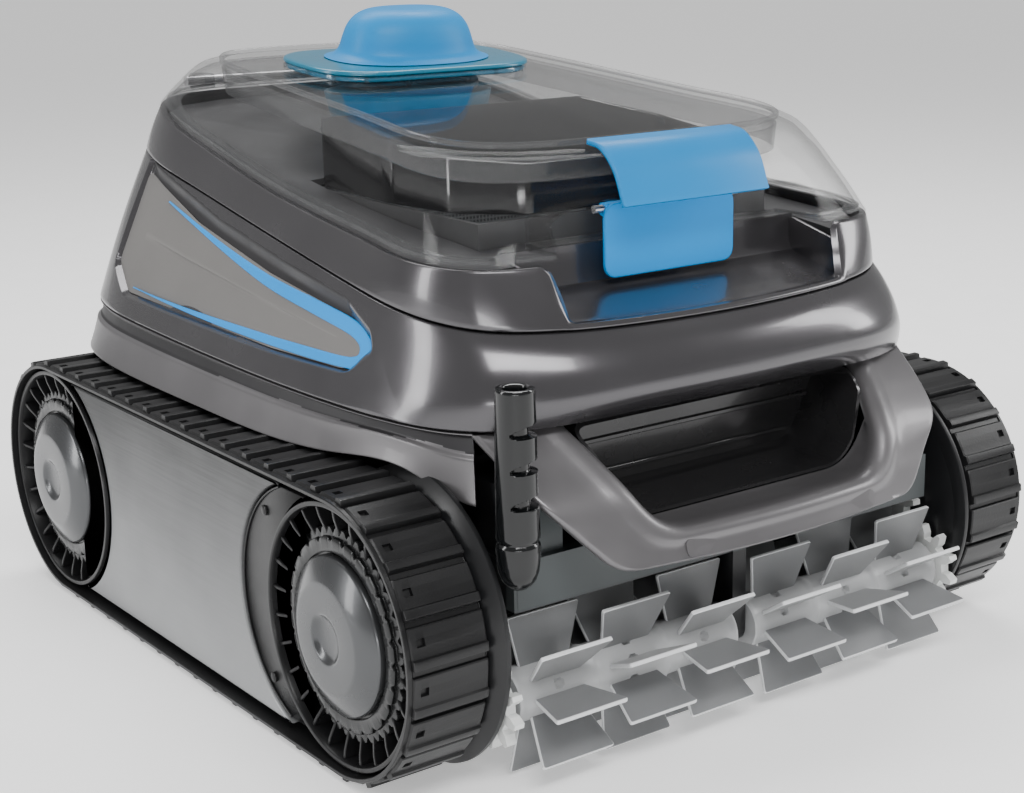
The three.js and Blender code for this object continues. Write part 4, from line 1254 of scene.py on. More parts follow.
# ---------------------------------------------------------------- front
@dataclass
class FrontPanel:
    """The panel round the handle slot, its liner, the grip pad and the strain relief beside it."""

    rows: tuple = ((92, 89, -232, -222), (108, 104, -225, -215), (124, 119, -214, -207),
                   (136, 124, -203, -192), (148.8, 128, -190, -173))
    slot: tuple = ((88, 148.8), (86.2, 145), (65.5, 106), (-65.5, 106), (-86.2, 145), (-88, 148.8))
    rim: tuple = ((128, 148.8), (124, 136), (119, 124), (104, 108), (89, 92), (-89, 92), (-104, 108),
                  (-119, 124), (-124, 136), (-128, 148.8))
    liner_front: float = -198.6
    liner_back: float = -161.0
    relief: tuple[float, float] = (-130, -206)
    bend_slots: tuple[float, ...] = (128.6, 143.6, 158.6)
    bend_slot_depth: float = 3.4

    def face_y(self, xz: Array) -> Array:
        """The panel's y at (x, z): middle + (edge - middle) (x / half)^2, each smooth in z.

        Args:
            xz: the (x, z) points.

        Returns:
            A y for each point.
        """
        z, half, middle, edge = np.transpose(self.rows)
        at = xz[..., 1]
        h, m, e = (curve_through(np.column_stack([z, v]), at) for v in (half, middle, edge))
        return m + (e - m) * (xz[..., 0] / h) ** 2

    def path(self, corners: tuple, radius: float, samples: int) -> Array:
        """An open path through corners, each rounded, with evenly spaced points.

        Args:
            corners: the path's corners and ends.
            radius: how far from a corner its curve starts.
            samples: points to return.

        Returns:
            The points along the path.
        """
        points = np.asarray(corners, float)
        pieces = [points[:1]]
        for before, at, after in zip(points[:-2], points[1:-1], points[2:]):
            reach = min(radius, np.linalg.norm(before - at) / 2.01, np.linalg.norm(after - at) / 2.01)
            a = at + (before - at) / np.linalg.norm(before - at) * reach
            b = at + (after - at) / np.linalg.norm(after - at) * reach
            t = np.linspace(0, 1, 9)[:, None]
            pieces.append((1 - t) ** 2 * a + 2 * t * (1 - t) * at + t * t * b)
        pieces.append(points[-1:])
        line = np.concatenate(pieces)
        length = np.concatenate([[0], np.cumsum(np.linalg.norm(np.diff(line, axis=0), axis=1))])
        even = np.linspace(0, length[-1], samples)
        return np.stack([np.interp(even, length, line[:, i]) for i in (0, 1)], axis=1)

    def shell(self) -> Surface:
        """The panel: one cross-section carried round the slot, with a rolled lip and a chamfered rim.

        Returns:
            The closed panel.
        """
        inner, outer = self.path(self.slot, 15, 240), self.path(self.rim, 9, 240)
        across = outer - inner
        width = np.linalg.norm(across, axis=1)
        unit = across / width[:, None]
        squeeze = np.minimum(1.0, width / 26)
        lip = [(0.0, 9), (-0.6, 6), (-0.3, 3.4), (0.6, 1.2), (2.2, -0.2), (4.2, -0.9), (6.4, -1.1),
               (8.8, -0.7), (11, -0.1), (13, 0.3)]
        deep = np.maximum(self.liner_front - self.face_y(inner), 5.0)
        rings = [(1.6 * squeeze, deep), (1.4 * squeeze, 0.7 * deep + 2)]
        rings += [(reach * squeeze, depth) for reach, depth in lip]
        rings += [(width - (width - 13 * squeeze) * share, 0.3 * share) for share in (0.8, 0.6, 0.4, 0.2)]
        rings += [(width - back, depth)
                  for back, depth in ((2.6, 0), (1.9, 0.1), (0.7, 1.0), (0.1, 2.0), (0.1, 4.0))]
        rings += [(width - 2.5, 4.6), (13 * squeeze, 4.8), (7 * squeeze, 9.0), (4.4 * squeeze, deep)]
        sections = []
        for reach, depth in rings:
            xz = inner + unit * np.broadcast_to(reach, width.shape)[:, None]
            sections.append(np.column_stack([xz[:, 0], self.face_y(xz) + depth, xz[:, 1]]))
        return closed_stack(np.stack(sections, axis=1))

    def liner(self) -> Surface:
        """The slot's liner: a cup whose walls narrow to its back, with two ribs across it.

        Returns:
            The closed cup and its ribs.
        """
        outline = rounded([(87.6, 148.2), (65.2, 105.4), (-65.2, 105.4), (-87.6, 148.2)], 13, 8)
        cup = [(3.5, self.liner_back), (0.2, self.liner_front), (1.9, self.liner_front - 0.2),
               (6.2, self.liner_back - 2.5)]
        rings = np.stack([placed(inset(outline, by), y, Axis.Y) for by, y in cup])
        for ring in rings[1:3]:
            ring[:, 1] = np.maximum(ring[:, 1], self.face_y(ring[:, [0, 2]]) + 4.6)
        back = self.liner_back - 2.3
        ribs = [block((-60 - lift, 60 + lift), (back - 1.6, back + 0.4), (116 + lift, 118.2 + lift), 0.4)
                for lift in (0, 15)]
        return joined([closed_stack(rings), *ribs])

    def pad(self) -> Surface:
        """The grip pad let into the lower lip.

        Returns:
            The closed pad.
        """
        outline = rounded([(57, 101.5), (57, 94.2), (-57, 94.2), (-57, 101.5)], 2.6, 5)
        spine = np.stack([np.clip(outline[:, 0], -52, 52), np.full(len(outline), 97.8)], axis=1)

        def drape(xz: Array, depth: float) -> Array:
            """Points in front of the panel's face."""
            return np.column_stack([xz[:, 0], self.face_y(xz) - 0.9 + depth, xz[:, 1]])

        return draped(outline, spine, drape, 1.3)

    def sleeve(self) -> Surface:
        """The strain relief: a turned sleeve with a mouth, three lens-shaped bend slots and a ring groove.

        The radius at a height and an angle is the profile's, less the slots' depth where |height - slot| is
        under 2.7 mm times the root of the cosine of the angle from the slots' middle.

        Returns:
            The closed sleeve.
        """
        z = np.concatenate([[91.2, 92, 93.5, 96, 99.5, 104], np.linspace(107, 175.6, 130),
                            [176.4, 176.8, 177.0]])
        radius = np.interp(z, [91.2, 92, 93.5, 96, 99.5, 104, 108, 175.6, 176.4, 176.8, 177],
                           [1.5, 3.6, 5.6, 7.4, 8.6, 9.2, 9.4, 8.25, 8.1, 7.8, 7.3])
        radius = radius - 0.8 * np.exp(-((z - 112.5) / 0.9) ** 2)
        angle = np.linspace(0, TAU, 96, endpoint=False)
        facing = np.cos(angle + 0.9)
        cut = np.zeros((len(z), len(angle)))
        for slot in self.bend_slots:
            half = 2.7 * np.clip(facing, 0, 1) ** 0.5
            off = np.abs(z[:, None] - slot - 1.2 * facing[None])
            opened = 1 - smoothstep(off / np.maximum(half, 1e-3), 0.75, 1.0)
            cut = np.maximum(cut, self.bend_slot_depth * opened * (half > 0.4))
        wide = radius[:, None] - cut
        outer = placed(wide[..., None] * np.stack([np.cos(angle), np.sin(angle)], axis=-1), z[:, None],
                       Axis.Z)
        mouth = revolved([(6.4, 177), (5.4, 176.6), (5.0, 175.5), (5.0, 152)], Axis.Z, (0, 0, 0), 96)
        rings = np.concatenate([outer, mouth.points.reshape(-1, 96, 3)])
        return closed_stack(rings).moved(*self.relief, 0)

    def build(self) -> None:
        """Makes the front's pieces."""
        build("front_panel_face", self.shell(), Finishes.satin_grey, "chassis", ["front_panel"])
        build("slot_liner_cup", self.liner(), Finishes.liner, "chassis", ["slot_liner"])
        build("grip_pad_inlay", self.pad(), Finishes.satin_grey, "chassis", ["grip_pad"])
        build("strain_relief_sleeve", self.sleeve(), Finishes.gloss_black, "chassis", ["strain_relief"], 30)


# ---------------------------------------------------------------- lid
@dataclass
class Lid:
    """The clear lid with its front niche, rim and flange, the outlet plate and hood, and the latch."""

    samples: int = 640
    wall: float = 2.6
    niche_half: float = 78.0
    niche_back: float = -140.6
    niche_top: float = 236.0
    top_slope: float = 0.084
    cover_wall: float = 2.6
    hood_rings: tuple = ((46, 32, 7), (42.4, 28.6, 8.2), (39.6, 26.2, 10.2), (38, 24.9, 13), (36.4, 23.6, 18),
                         (34.2, 21.6, 23.5), (30.6, 18.6, 28), (25.6, 14.6, 31), (19.5, 10, 32.5),
                         (12, 6, 32.9))

    def shaped(self, points: Array, depth: float) -> Array:
        """Pushes the front back into the latch's niche below its arched top.

        Args:
            points: the points to push.
            depth: how far they lie below the outside.

        Returns:
            The pushed points.
        """
        x, y, z = points[..., 0], points[..., 1], points[..., 2]
        arch = self.niche_top + 1.5 - 7 * np.clip(np.abs(x) / self.niche_half, 0, 1.2) ** 6
        below = 1 - smoothstep(z, arch - 1.6, arch)
        between = 1 - smoothstep(np.abs(x), self.niche_half - 3, self.niche_half)
        share = below * between
        back = np.maximum(y, self.niche_back + depth)
        moved = points.copy()
        moved[..., 1] = np.where(y < -120, y + (back - y) * share, y)
        return moved

    def rings(self, depth: float) -> list[Array]:
        """The lid's rings from its edge over the shoulder to the middle, set in by a depth.

        Args:
            depth: how far the rings lie below the outside.

        Returns:
            The rings in order.
        """
        low = section(LID_EDGE_HALF, lid_edge_height, self.samples) + (0, 0, 0.3)
        high = section(LID_TOP_HALF, lid_top_height, self.samples)
        rings = []
        swell = [(0, 0), (0.25, 1.7), (0.5, 2.5), (0.75, 2.8), (0.9, 2.0), (0.97, 0.2), (1, -2)]
        for share in np.concatenate([np.linspace(0, 0.9, 56), np.linspace(0.915, 1, 12)]):
            ring = low * (1 - share) + high * share
            out = float(curve_through(swell, np.array([share]))[0])
            drop = depth * smoothstep(np.array(share), 0.6, 1.0)
            aside = depth * (1 - 0.6 * smoothstep(np.array(share), 0.8, 1.0))
            rings.append(ring + outwards(ring) * (out - aside) - (0, 0, float(drop)))
        centre = np.array([0, 6, 0])
        for share in (0.985, 0.95, 0.88, 0.75, 0.5, 0.2, 0.02):
            ring = centre + (rings[67] - centre) * (share, share, 1)
            ring[:, 2] = lid_top_height(ring[:, 1]) + 0.9 * (1 - share * share) - depth
            rings.append(ring)
        return [self.shaped(ring, depth) for ring in rings]

    def shell(self) -> Surface:
        """The closed shell: the outside from the middle down to the edge, and the inside back up."""
        outer, inner = self.rings(0.0), self.rings(self.wall)
        return closed_stack(np.stack(outer[::-1] + inner))

    def edge_ring(self, ring: Array, profile: Sequence[Sequence[float]]) -> Surface:
        """A closed ring that follows another: its cross-section is given as (inset, rise) points."""
        rings = [self.shaped(ring - outwards(ring) * by + (0, 0, rise), self.wall) for by, rise in profile]
        return grid(np.stack(rings), wrap_rows=True, wrap_columns=True)

    def trims(self) -> Surface:
        """The grooved flange inside the seam, the raised rim on the top and the wall that hangs under it.

        Returns:
            The three closed rings.
        """
        low = section(LID_EDGE_HALF, lid_edge_height, self.samples)
        high = section(LID_TOP_HALF, lid_top_height, self.samples)
        flange = [(3.4, 1.0), (3.4, 3.0), (4.6, 3.3), (5.2, 2.2), (6.4, 2.2), (7, 3.5), (8.6, 3.7),
                  (9.2, 2.6), (11, 2.6), (11, 1.0)]
        rim = [(7, 0.4), (7, 2.4), (7.6, 2.9), (8.8, 2.9), (9.4, 2.4), (9.4, 0.4)]
        under = [(8, -3.2), (9.6, -3.2), (10.4, -15), (9.2, -15)]
        return joined([self.edge_ring(low, flange), self.edge_ring(high, rim), self.edge_ring(high, under)])

    def ears(self) -> Surface:
        """The two hinge ears at the rear, round the ends of the pin.

        Returns:
            The closed ears.
        """
        _, y, z = middle_of("hinge_pin") - (0, BASE_SHIFT, 0)
        arm = rounded([(168, z - 3), (y, z - 4.6), (y, z + 4.6), (168, z + 5)], 1.5, 3)
        return joined([prism(arm, Axis.X, 66, 74, 0.5).on(side) for side in Side])

    def outlet(self) -> tuple[Surface, Surface, Surface]:
        """The outlet's blue plate, the glassy band under its rim, and the ribs round the band.

        Returns:
            The plate, the band and the ribs, flat about the origin.
        """
        low, high = (np.array(c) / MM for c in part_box("outlet_plate"))
        half_x, half_y = (high[0] - low[0]) / 2, 40.0
        outline = rounded(rectangle(-half_x, half_x, -half_y, half_y), 34, 14)
        hole = outline / np.linalg.norm(outline, axis=1, keepdims=True) * 29
        rings = [placed(hole, 3.4, Axis.Z), placed(hole, 6.2, Axis.Z), placed(hole * 1.01, 6.5, Axis.Z)]
        rings += [placed(hole + (inset(outline, 6) - hole) * s, 6.55, Axis.Z) for s in (0.25, 0.5, 0.75)]
        rings += [placed(inset(outline, by), z, Axis.Z)
                  for by, z in ((4, 6.5), (1.6, 6.3), (0.6, 5.9), (0.1, 5.2), (0.1, 4.4), (0.6, 3.8),
                                (1.4, 3.4))]
        top = grid(np.stack(rings), wrap_rows=True, wrap_columns=True)
        band = [(2.2, 0.7), (1.6, 1.2), (1.4, 2.4), (1.8, 3.4), (4.2, 3.4), (4.2, 0.7)]
        glass = grid(np.stack([placed(inset(outline, by), z, Axis.Z) for by, z in band]), True, True)
        marks = inset(outline, 0.9)[::5]
        ribs = [prism(rectangle(x - 0.7, x + 0.7, y - 0.7, y + 0.7), Axis.Z, 0.7, 3.3, 0.2) for x, y in marks]
        return top, glass, joined(ribs)

    def on_top(self, surface: Surface) -> Surface:
        """A surface built flat about the outlet's middle, tilted with the lid's top."""
        tilted = surface.turned(math.atan(self.top_slope), Axis.X)
        return tilted.moved(0, PUMP[1], lid_top_height(np.array(PUMP[1])))

    def hood(self) -> Surface:
        """The hood: oval rings smoothed in height, flared at the foot, with its mouth sunk in at the rear.

        Returns:
            The closed hood, flat about the origin.
        """
        knots = np.asarray(self.hood_rings, float)
        place = np.arange(len(knots), dtype=float)
        at = np.linspace(0, place[-1], 48)
        half_x, half_y, z = (curve_through(np.column_stack([place, v]), at) for v in knots.T)
        angle = np.linspace(0, TAU, 112, endpoint=False)
        power = 0.86
        ring = np.stack([np.sign(np.cos(angle)) * np.abs(np.cos(angle)) ** power,
                         np.sign(np.sin(angle)) * np.abs(np.sin(angle)) ** power], axis=-1)
        uv = ring[None] * np.stack([half_x, half_y], axis=-1)[:, None]
        points = placed(uv, np.broadcast_to(z[:, None], uv.shape[:2]), Axis.Z)
        x, y, height = points[..., 0], points[..., 1], points[..., 2]
        share = smoothstep(y, 4, 9) * (1 - smoothstep(np.abs(x), 20, 22.5))
        share = share * smoothstep(height, 8.6, 9.6) * (1 - smoothstep(height, 22.5, 24))
        points[..., 1] = y + (3 - y) * share
        return closed_stack(points)

    def latch(self) -> tuple[Surface, Surface]:
        """The latch's curved cover, and its flap with the hinge barrel.

        Returns:
            The cover, and the flap.
        """
        knots = np.linspace(0, 1, 4)
        at = np.linspace(0, 1, 26)
        line = np.stack([curve_through(np.column_stack([knots, v]), at)
                         for v in ((-141, -151.4, -161.4, -168.1), (262.6, 260.4, 251, 235.7))], axis=1)
        along = np.gradient(line, axis=0)
        along /= np.linalg.norm(along, axis=1, keepdims=True)
        inner = line + np.stack([along[:, 1], -along[:, 0]], axis=1) * -self.cover_wall
        cover = prism(np.concatenate([line, inner[::-1]]), Axis.X, -42.9, 42.9, 0.9, 3)
        pivot = middle_of("latch_pin") - (0, BASE_SHIFT, 0)
        y, z = pivot[1], pivot[2]
        front = rounded([(-38.3, z + 2.5), (-38.3, 199.9), (38.3, 199.9), (38.3, z + 2.5)], 7, 8)
        face = prism(front, Axis.Y, y - 3.4, y - 0.7, 0.9, 3)
        barrel = rounded([(y - 2, z - 4.4), (y + 3.2, z - 3.2), (y + 3.2, z + 2.4), (y - 2, z + 2.4)], 1.2, 4)
        return cover, joined([face, prism(barrel, Axis.X, -37, 37, 0.5, 2)])

    def canister(self) -> Surface:
        """The filter canister's frame: a tall wall that follows the lid's outline, with its carrying bar.

        Returns:
            The frame, the bar and its posts.
        """
        half = [(82, 26.6), (85.6, -42), (80, -88), (56, -113.6)]
        outline = np.array(half + [(-x, y) for x, y in half[::-1]], float)
        outline = rounded(outline, 5, 6)
        low, high = 226.6, 249.5 + (outline[:, 1] + 118) * 0.078
        rows = [(4.6, 0.0), (0.5, 0.0), (0, 0.02), (0, 0.93), (0.5, 0.985), (1.2, 1.0), (2.6, 1.0),
                (3.2, 0.985), (3.4, 0.93), (3.6, 0.02)]
        rings = [np.column_stack([inset(outline, by), low + (high - low) * up]) for by, up in rows]
        wall = grid(np.stack(rings), wrap_rows=True, wrap_columns=True)
        bar = block((-82, 82), (-47, -37), (230, 238), 1.5)
        fillet = rounded([(81.6, -47), (86.2, -47), (86.2, -38), (81.6, -38)], 1.4, 4)
        posts = [prism(fillet * (side.value, 1), Axis.Z, 227.4, 254.6, 0.8, 2) for side in Side]
        return joined([wall, bar, *posts])

    def duct(self) -> Surface:
        """The funnel under the outlet, thin-walled and open above, on four legs.

        Returns:
            The funnel and its legs.
        """
        profile = [(36.2, 214), (38.3, 214), (38.4, 238), (40, 246), (43.4, 259), (44.9, 266),
                   (43.2, 266.3), (41.6, 259), (38.2, 246.6), (36.2, 239), (36.2, 214)]
        rings = revolved(profile[:-1], Axis.Z, (0, PUMP[1], 0), 72).points.reshape(-1, 72, 3)
        legs = [block((35.4, 38.2), (-4, 4), (196.5, 215), 0.5).turned(math.radians(45 + 90 * i), Axis.Z)
                .moved(0, PUMP[1], 0) for i in range(4)]
        return joined([grid(rings, True, True), *legs])

    def build(self) -> None:
        """Makes the lid's pieces, and what shows through it."""
        build("lid_dome", self.shell(), Finishes.clear, "lid", ["lid"], 50)
        build("lid_trims", self.trims(), Finishes.clear_edge, "lid")
        build("lid_ears", self.ears(), Finishes.clear_edge, "lid")
        top, glass, ribs = (self.on_top(part) for part in self.outlet())
        build("outlet_plate_top", top, Finishes.plate_blue, "lid", ["outlet_plate"])
        build("outlet_band", glass, Finishes.band_blue, "lid")
        build("outlet_ribs", ribs, Finishes.clear_edge, "lid")
        hood = self.on_top(self.hood())
        piece = build("outlet_hood_shell", hood, Finishes.blue, "lid", ["outlet_hood"], 60)
        # painted shade: the flat back of the hood's mouth is black, standing in for the dark inside of the
        # opening
        second_finish(piece, Finishes.black, self.in_mouth)
        cover, flap = self.latch()
        build("latch_cover_shell", cover, Finishes.cover_blue, "lid", ["latch_cover"])
        build("latch_flap_plate", flap, Finishes.flap_blue, "latch", ["latch_flap"])
        build("filter_cover_frame", self.canister(), Finishes.smoky, "chassis", ["filter_cover"])
        build("flow_duct_funnel", self.duct(), Finishes.duct_blue, "chassis", ["flow_duct"])

    def in_mouth(self, at: Array) -> Array:
        """Whether a point lies on the back of the hood's mouth, which is painted black as the shade inside
        it.
        """
        local = at[:, 2] - lid_top_height(at[:, 1])
        inside = (np.abs(at[:, 0]) < 20) & (np.abs(at[:, 1] - PUMP[1] - 1.5) < 4)
        return inside & (local > 9.4) & (local < 22.4)


# ---------------------------------------------------------------- tracks
@dataclass
class Track:
    """One side's track: belt, guards, side plate, and the two wheels with their caps."""

    side: Side
    lugs: int = 48
    belt_radius: float = 62.3
    tread_pitch: float = 20.28
    fins: int = 26
    arc_centre: float = -117.0
    arc_radius: float = 58.0
    tread: tuple = ((0.0, 61.7), (1.2, 61.7), (1.6, 63.0), (2.2, 63.4), (6.2, 63.4), (6.5, 63.4), (9.4, 63.4),
                    (9.7, 63.4), (13.6, 63.4), (14.2, 63.5), (14.8, 64.6), (15.2, 64.7), (18.0, 64.7),
                    (18.4, 64.6), (19.2, 61.7))

    def loop(self, distance: Array, radius: Array) -> Array:
        """The (y, z) of points round both wheels, from a distance along the belt and a radius.

        Args:
            distance: how far along the belt line, from the top of the rear wheel towards the front.
            radius: the distance from the axles' line.

        Returns:
            The (y, z) points.
        """
        base, arc = 2 * HALF_BASE, math.pi * self.belt_radius
        s = np.mod(distance, 2 * (base + arc))
        turn = np.where(s < base + arc, math.pi / 2 + (s - base) / self.belt_radius,
                        -math.pi / 2 + (s - 2 * base - arc) / self.belt_radius)
        straight = (s < base) | ((s >= base + arc) & (s < 2 * base + arc))
        up = np.where(s < base, 1.0, -1.0)
        along = np.where(s < base, HALF_BASE - s, -HALF_BASE + s - base - arc)
        centre = np.where(s < base + arc, -HALF_BASE, HALF_BASE)
        y = np.where(straight, along, centre + radius * np.cos(turn))
        z = AXLE_Z + np.where(straight, up * radius, radius * np.sin(turn))
        return np.stack([y, z], axis=-1)

    def belt(self) -> Surface:
        """The belt: per pitch a groove, a pad with a notch near its outer edge, and a ridge to the ground.

        Each point's radius is the tread's at its distance within the pitch, less the rounding at the belt's
        edges and 1.5 mm inside the notch. A column's value under 5 is that rounding, and a larger one is the
        column's own radius, on the belt's inner face and its outer rim.

        Returns:
            The closed belt, at +X.
        """
        pitch = 2 * (2 * HALF_BASE + math.pi * self.belt_radius) / self.lugs
        phase, radius = np.transpose(self.tread)
        s = (np.arange(self.lugs)[:, None] * pitch + phase[None] * pitch / self.tread_pitch).ravel()
        r = np.tile(radius, self.lugs)
        notch = np.tile((phase > 6.3) & (phase < 9.6), self.lugs)
        ridge = r > 63.6
        columns = [(TRACK_IN, 60.2), (TRACK_IN, 61.4), (TRACK_IN + 0.3, 0.5), (TRACK_IN + 1.0, 0.0),
                   (176.6, 0.0), (176.9, 0.0), (180.2, 0.0), (180.5, 0.0), (182.9, 0.0), (183.4, 0.5),
                   (183.6, 62.2), (185.2, 62.1), (185.5, 61.7), (185.5, 60.4), (185.2, 60.2)]
        rings = []
        for x, value in columns:
            sunk = notch * 1.5 if 176.7 < x < 180.4 else 0.0
            rim = np.where(ridge & (x > 183), 0.0, 1.0)
            top = r - sunk - value * rim
            level = top if value < 5 else np.full(len(s), value)
            rings.append(np.column_stack([np.full(len(s), x), self.loop(s, level)]))
        return grid(np.stack(rings), wrap_rows=True, wrap_columns=True)

    def wheel(self, axle: Array) -> list[tuple[str, Surface, Finish]]:
        """A wheel's rim, fins and stepped disc, and its cap, at an axle.

        Args:
            axle: the wheel's centre in millimetres.

        Returns:
            The name, surface and finish of each piece.
        """
        y = axle[1] - BASE_SHIFT
        rim = [(55.6, 150), (58.6, 148.2), (59, 149), (59, 181.6), (58.5, 182.7), (57.4, 182.9),
               (56.6, 182.6), (56, 181.6)]
        back = [(15, 166), (56.2, 166), (56.2, 170), (15, 170)]
        ring = grid(revolved(rim, Axis.X, (0, 0, 0), 128).points.reshape(-1, 128, 3), True, True)
        web = grid(revolved(back, Axis.X, (0, 0, 0), 96).points.reshape(-1, 96, 3), True, True)
        fin = prism(rounded([(43, 160), (56.4, 160), (56.4, 181.2), (52, 180.6), (43, 178)], 0.8, 2),
                    Axis.Y, -0.8, 0.8, 0.3)
        fin = Surface(fin.points[:, [2, 1, 0]], fin.quads, fin.flats)
        fins = [fin.turned(TAU * i / self.fins) for i in range(self.fins)]
        count = self.fins * 14
        angle = np.linspace(0, TAU, count, endpoint=False)
        wave = np.clip(np.cos(self.fins * angle), 0, 1) ** 3
        rings = []
        for r, x in ((40, 162), (47.2, 162), (47.2, 177.6), (46.8, 178.1), (43.2, 178.4), (42.9, 178.9),
                     (42.9, 179.8),
                     (42.4, 180.2), (37.0, 180.4), (36.4, 180.0), (36.2, 178.2)):
            wide = r - wave * (2.6 if r > 45 else 1.7 if r > 41 else 0)
            uv = wide[:, None] * np.stack([np.cos(angle), np.sin(angle)], axis=1)
            rings.append(placed(uv, x, Axis.X))
        disc = closed_stack(np.stack(rings))
        cap = [(0, 178.8), (35.2, 178.8), (35.4, 179.4), (35.4, 181.4), (35.1, 182.2), (34.4, 182.9),
               (25.2, 186.9), (24.2, 187.2), (23.0, 187.3), (12.2, 187.5), (11.2, 187.4), (10.6, 187.0),
               (9.6, 186.0), (7.5, 185.1), (4, 184.8), (0, 184.7)]
        hub = revolved([(15, 158), (15, 178.6)], Axis.X, (0, 0, 0), 48)
        hub.flats = [list(range(48))[::-1], list(range(48, 96))]
        frame_part = joined([ring, web, *fins, hub]).moved(0, y, AXLE_Z)
        return [
            ("wheel_frame", frame_part, Finishes.wheel),
            ("wheel_disc", disc.moved(0, y, AXLE_Z), Finishes.disc),
            ("hub_cap_dish", revolved(cap, Axis.X, (0, y, AXLE_Z), 96), Finishes.hub),
        ]

    def plate_outline(self) -> Array:
        """The side plate's (y, z) outline: hollow arcs round the front guard and the rear wheel.

        Returns:
            Its (y, z) points.
        """
        top = 56.5
        front, rear = self.arc_radius + 1.2, 60.5
        a = math.asin(top / front)
        b = math.asin(top / rear)
        turn_front = np.linspace(a, -a, 48)
        turn_rear = np.linspace(math.pi + b, math.pi - b, 48)
        front_y, front_z = self.arc_centre + front * np.cos(turn_front), AXLE_Z + front * np.sin(turn_front)
        rear_y, rear_z = HALF_BASE + rear * np.cos(turn_rear), AXLE_Z + rear * np.sin(turn_rear)
        arc_front = np.stack([front_y, front_z], axis=1)
        arc_rear = np.stack([rear_y, rear_z], axis=1)
        return np.concatenate([arc_front, arc_rear])

    def crescent(self) -> Surface:
        """The guard between plate and front wheel: a disc of the arc's radius less the wheel's room.

        Returns:
            The guard, its bead and its two screws.
        """
        reach = self.arc_radius
        turn = np.linspace(-1.22, 1.22, 64)
        outer = np.stack([self.arc_centre + reach * np.cos(turn), AXLE_Z + reach * np.sin(turn)], axis=1)
        z = outer[::-1, 1] - AXLE_Z
        inner = np.stack([-HALF_BASE + np.sqrt(60.8**2 - z**2), AXLE_Z + z], axis=1)
        inner[:, 0] = np.minimum(inner[:, 0], outer[::-1, 0] - 1.0)
        outline = np.concatenate([outer, inner])
        rails = prism(outline, Axis.X, 173, 179.4, 0.5, 2)
        centre = (self.arc_centre, AXLE_Z)
        edge = np.concatenate([outer, (outer - centre)[::-1] * 0.985 + centre])
        bead = prism(edge, Axis.X, 178.8, 180.0, 0.2, 1)
        screws = [revolved([(0, 178.6), (2.4, 178.6), (2.4, 180.1), (1.8, 180.5), (0, 180.5)], Axis.X,
                           (0, self.arc_centre + (reach - 5.5) * math.cos(t),
                            AXLE_Z + (reach - 5.5) * math.sin(t)), 20)
                  for t in (-0.86, 0.86)]
        return joined([rails, bead, *screws])

    def guard(self) -> Surface:
        """The inner guard: a plate of the track's outline and a conical collar at the front wheel.

        Returns:
            The plate and its collar.
        """
        s = np.linspace(0, 2 * (2 * HALF_BASE + math.pi * self.belt_radius), 220, endpoint=False)
        outline = self.loop(s, np.full(len(s), 59.3))
        plate = prism(outline, Axis.X, 139.2, 146.4, 0.8, 2)
        collar = [(56.5, 139.4), (65.4, 138.2), (66.3, 138.6), (66.5, 139.4), (66.4, 140.8), (61, 146.2),
                  (60, 146.5), (56.5, 146.5)]
        turned = revolved(collar, Axis.X, (0, -HALF_BASE, AXLE_Z), 96).points.reshape(-1, 96, 3)
        turned[..., 2] = np.maximum(turned[..., 2], 0.8)
        return joined([plate, grid(turned, True, True)])

    def build(self) -> None:
        """Makes the side's pieces."""
        word = self.side.word
        tread = self.belt().on(self.side)
        build(f"track_belt_{word}_tread", tread, Finishes.rubber, "chassis", [f"track_belt_{word}"], 30)
        for place, axle in (("front", FRONT_AXLE), ("rear", REAR_AXLE)):
            stands_for = [[f"{place}_wheel_{word}"], [], [f"{place}_hub_cap_{word}"]]
            for (name, surface, finish), nodes in zip(self.wheel(axle), stands_for):
                build(f"{place}_{name}_{word}", surface.on(self.side), finish, f"{place}_wheel_{word}", nodes)
        posts = [revolved([(0, TRACK_IN - 0.2), (5, TRACK_IN - 0.2), (5, 178), (0, 178)], Axis.X,
                          (0, y, z), 32)
                 for y, z in ((-42, 100), (45, 100), (-20, 30), (60, 30))]
        plate = joined([prism(self.plate_outline(), Axis.X, 176.4, 181, 1.0, 3), *posts])
        build(f"side_plate_{word}_sheet", plate.on(self.side), Finishes.plate, "chassis",
              [f"side_plate_{word}"])
        build(f"crescent_guard_{word}_rails", self.crescent().on(self.side), Finishes.wheel, "chassis",
              [f"crescent_guard_{word}"])
        build(f"track_guard_{word}_collar", self.guard().on(self.side), Finishes.black, "chassis",
              [f"track_guard_{word}"])


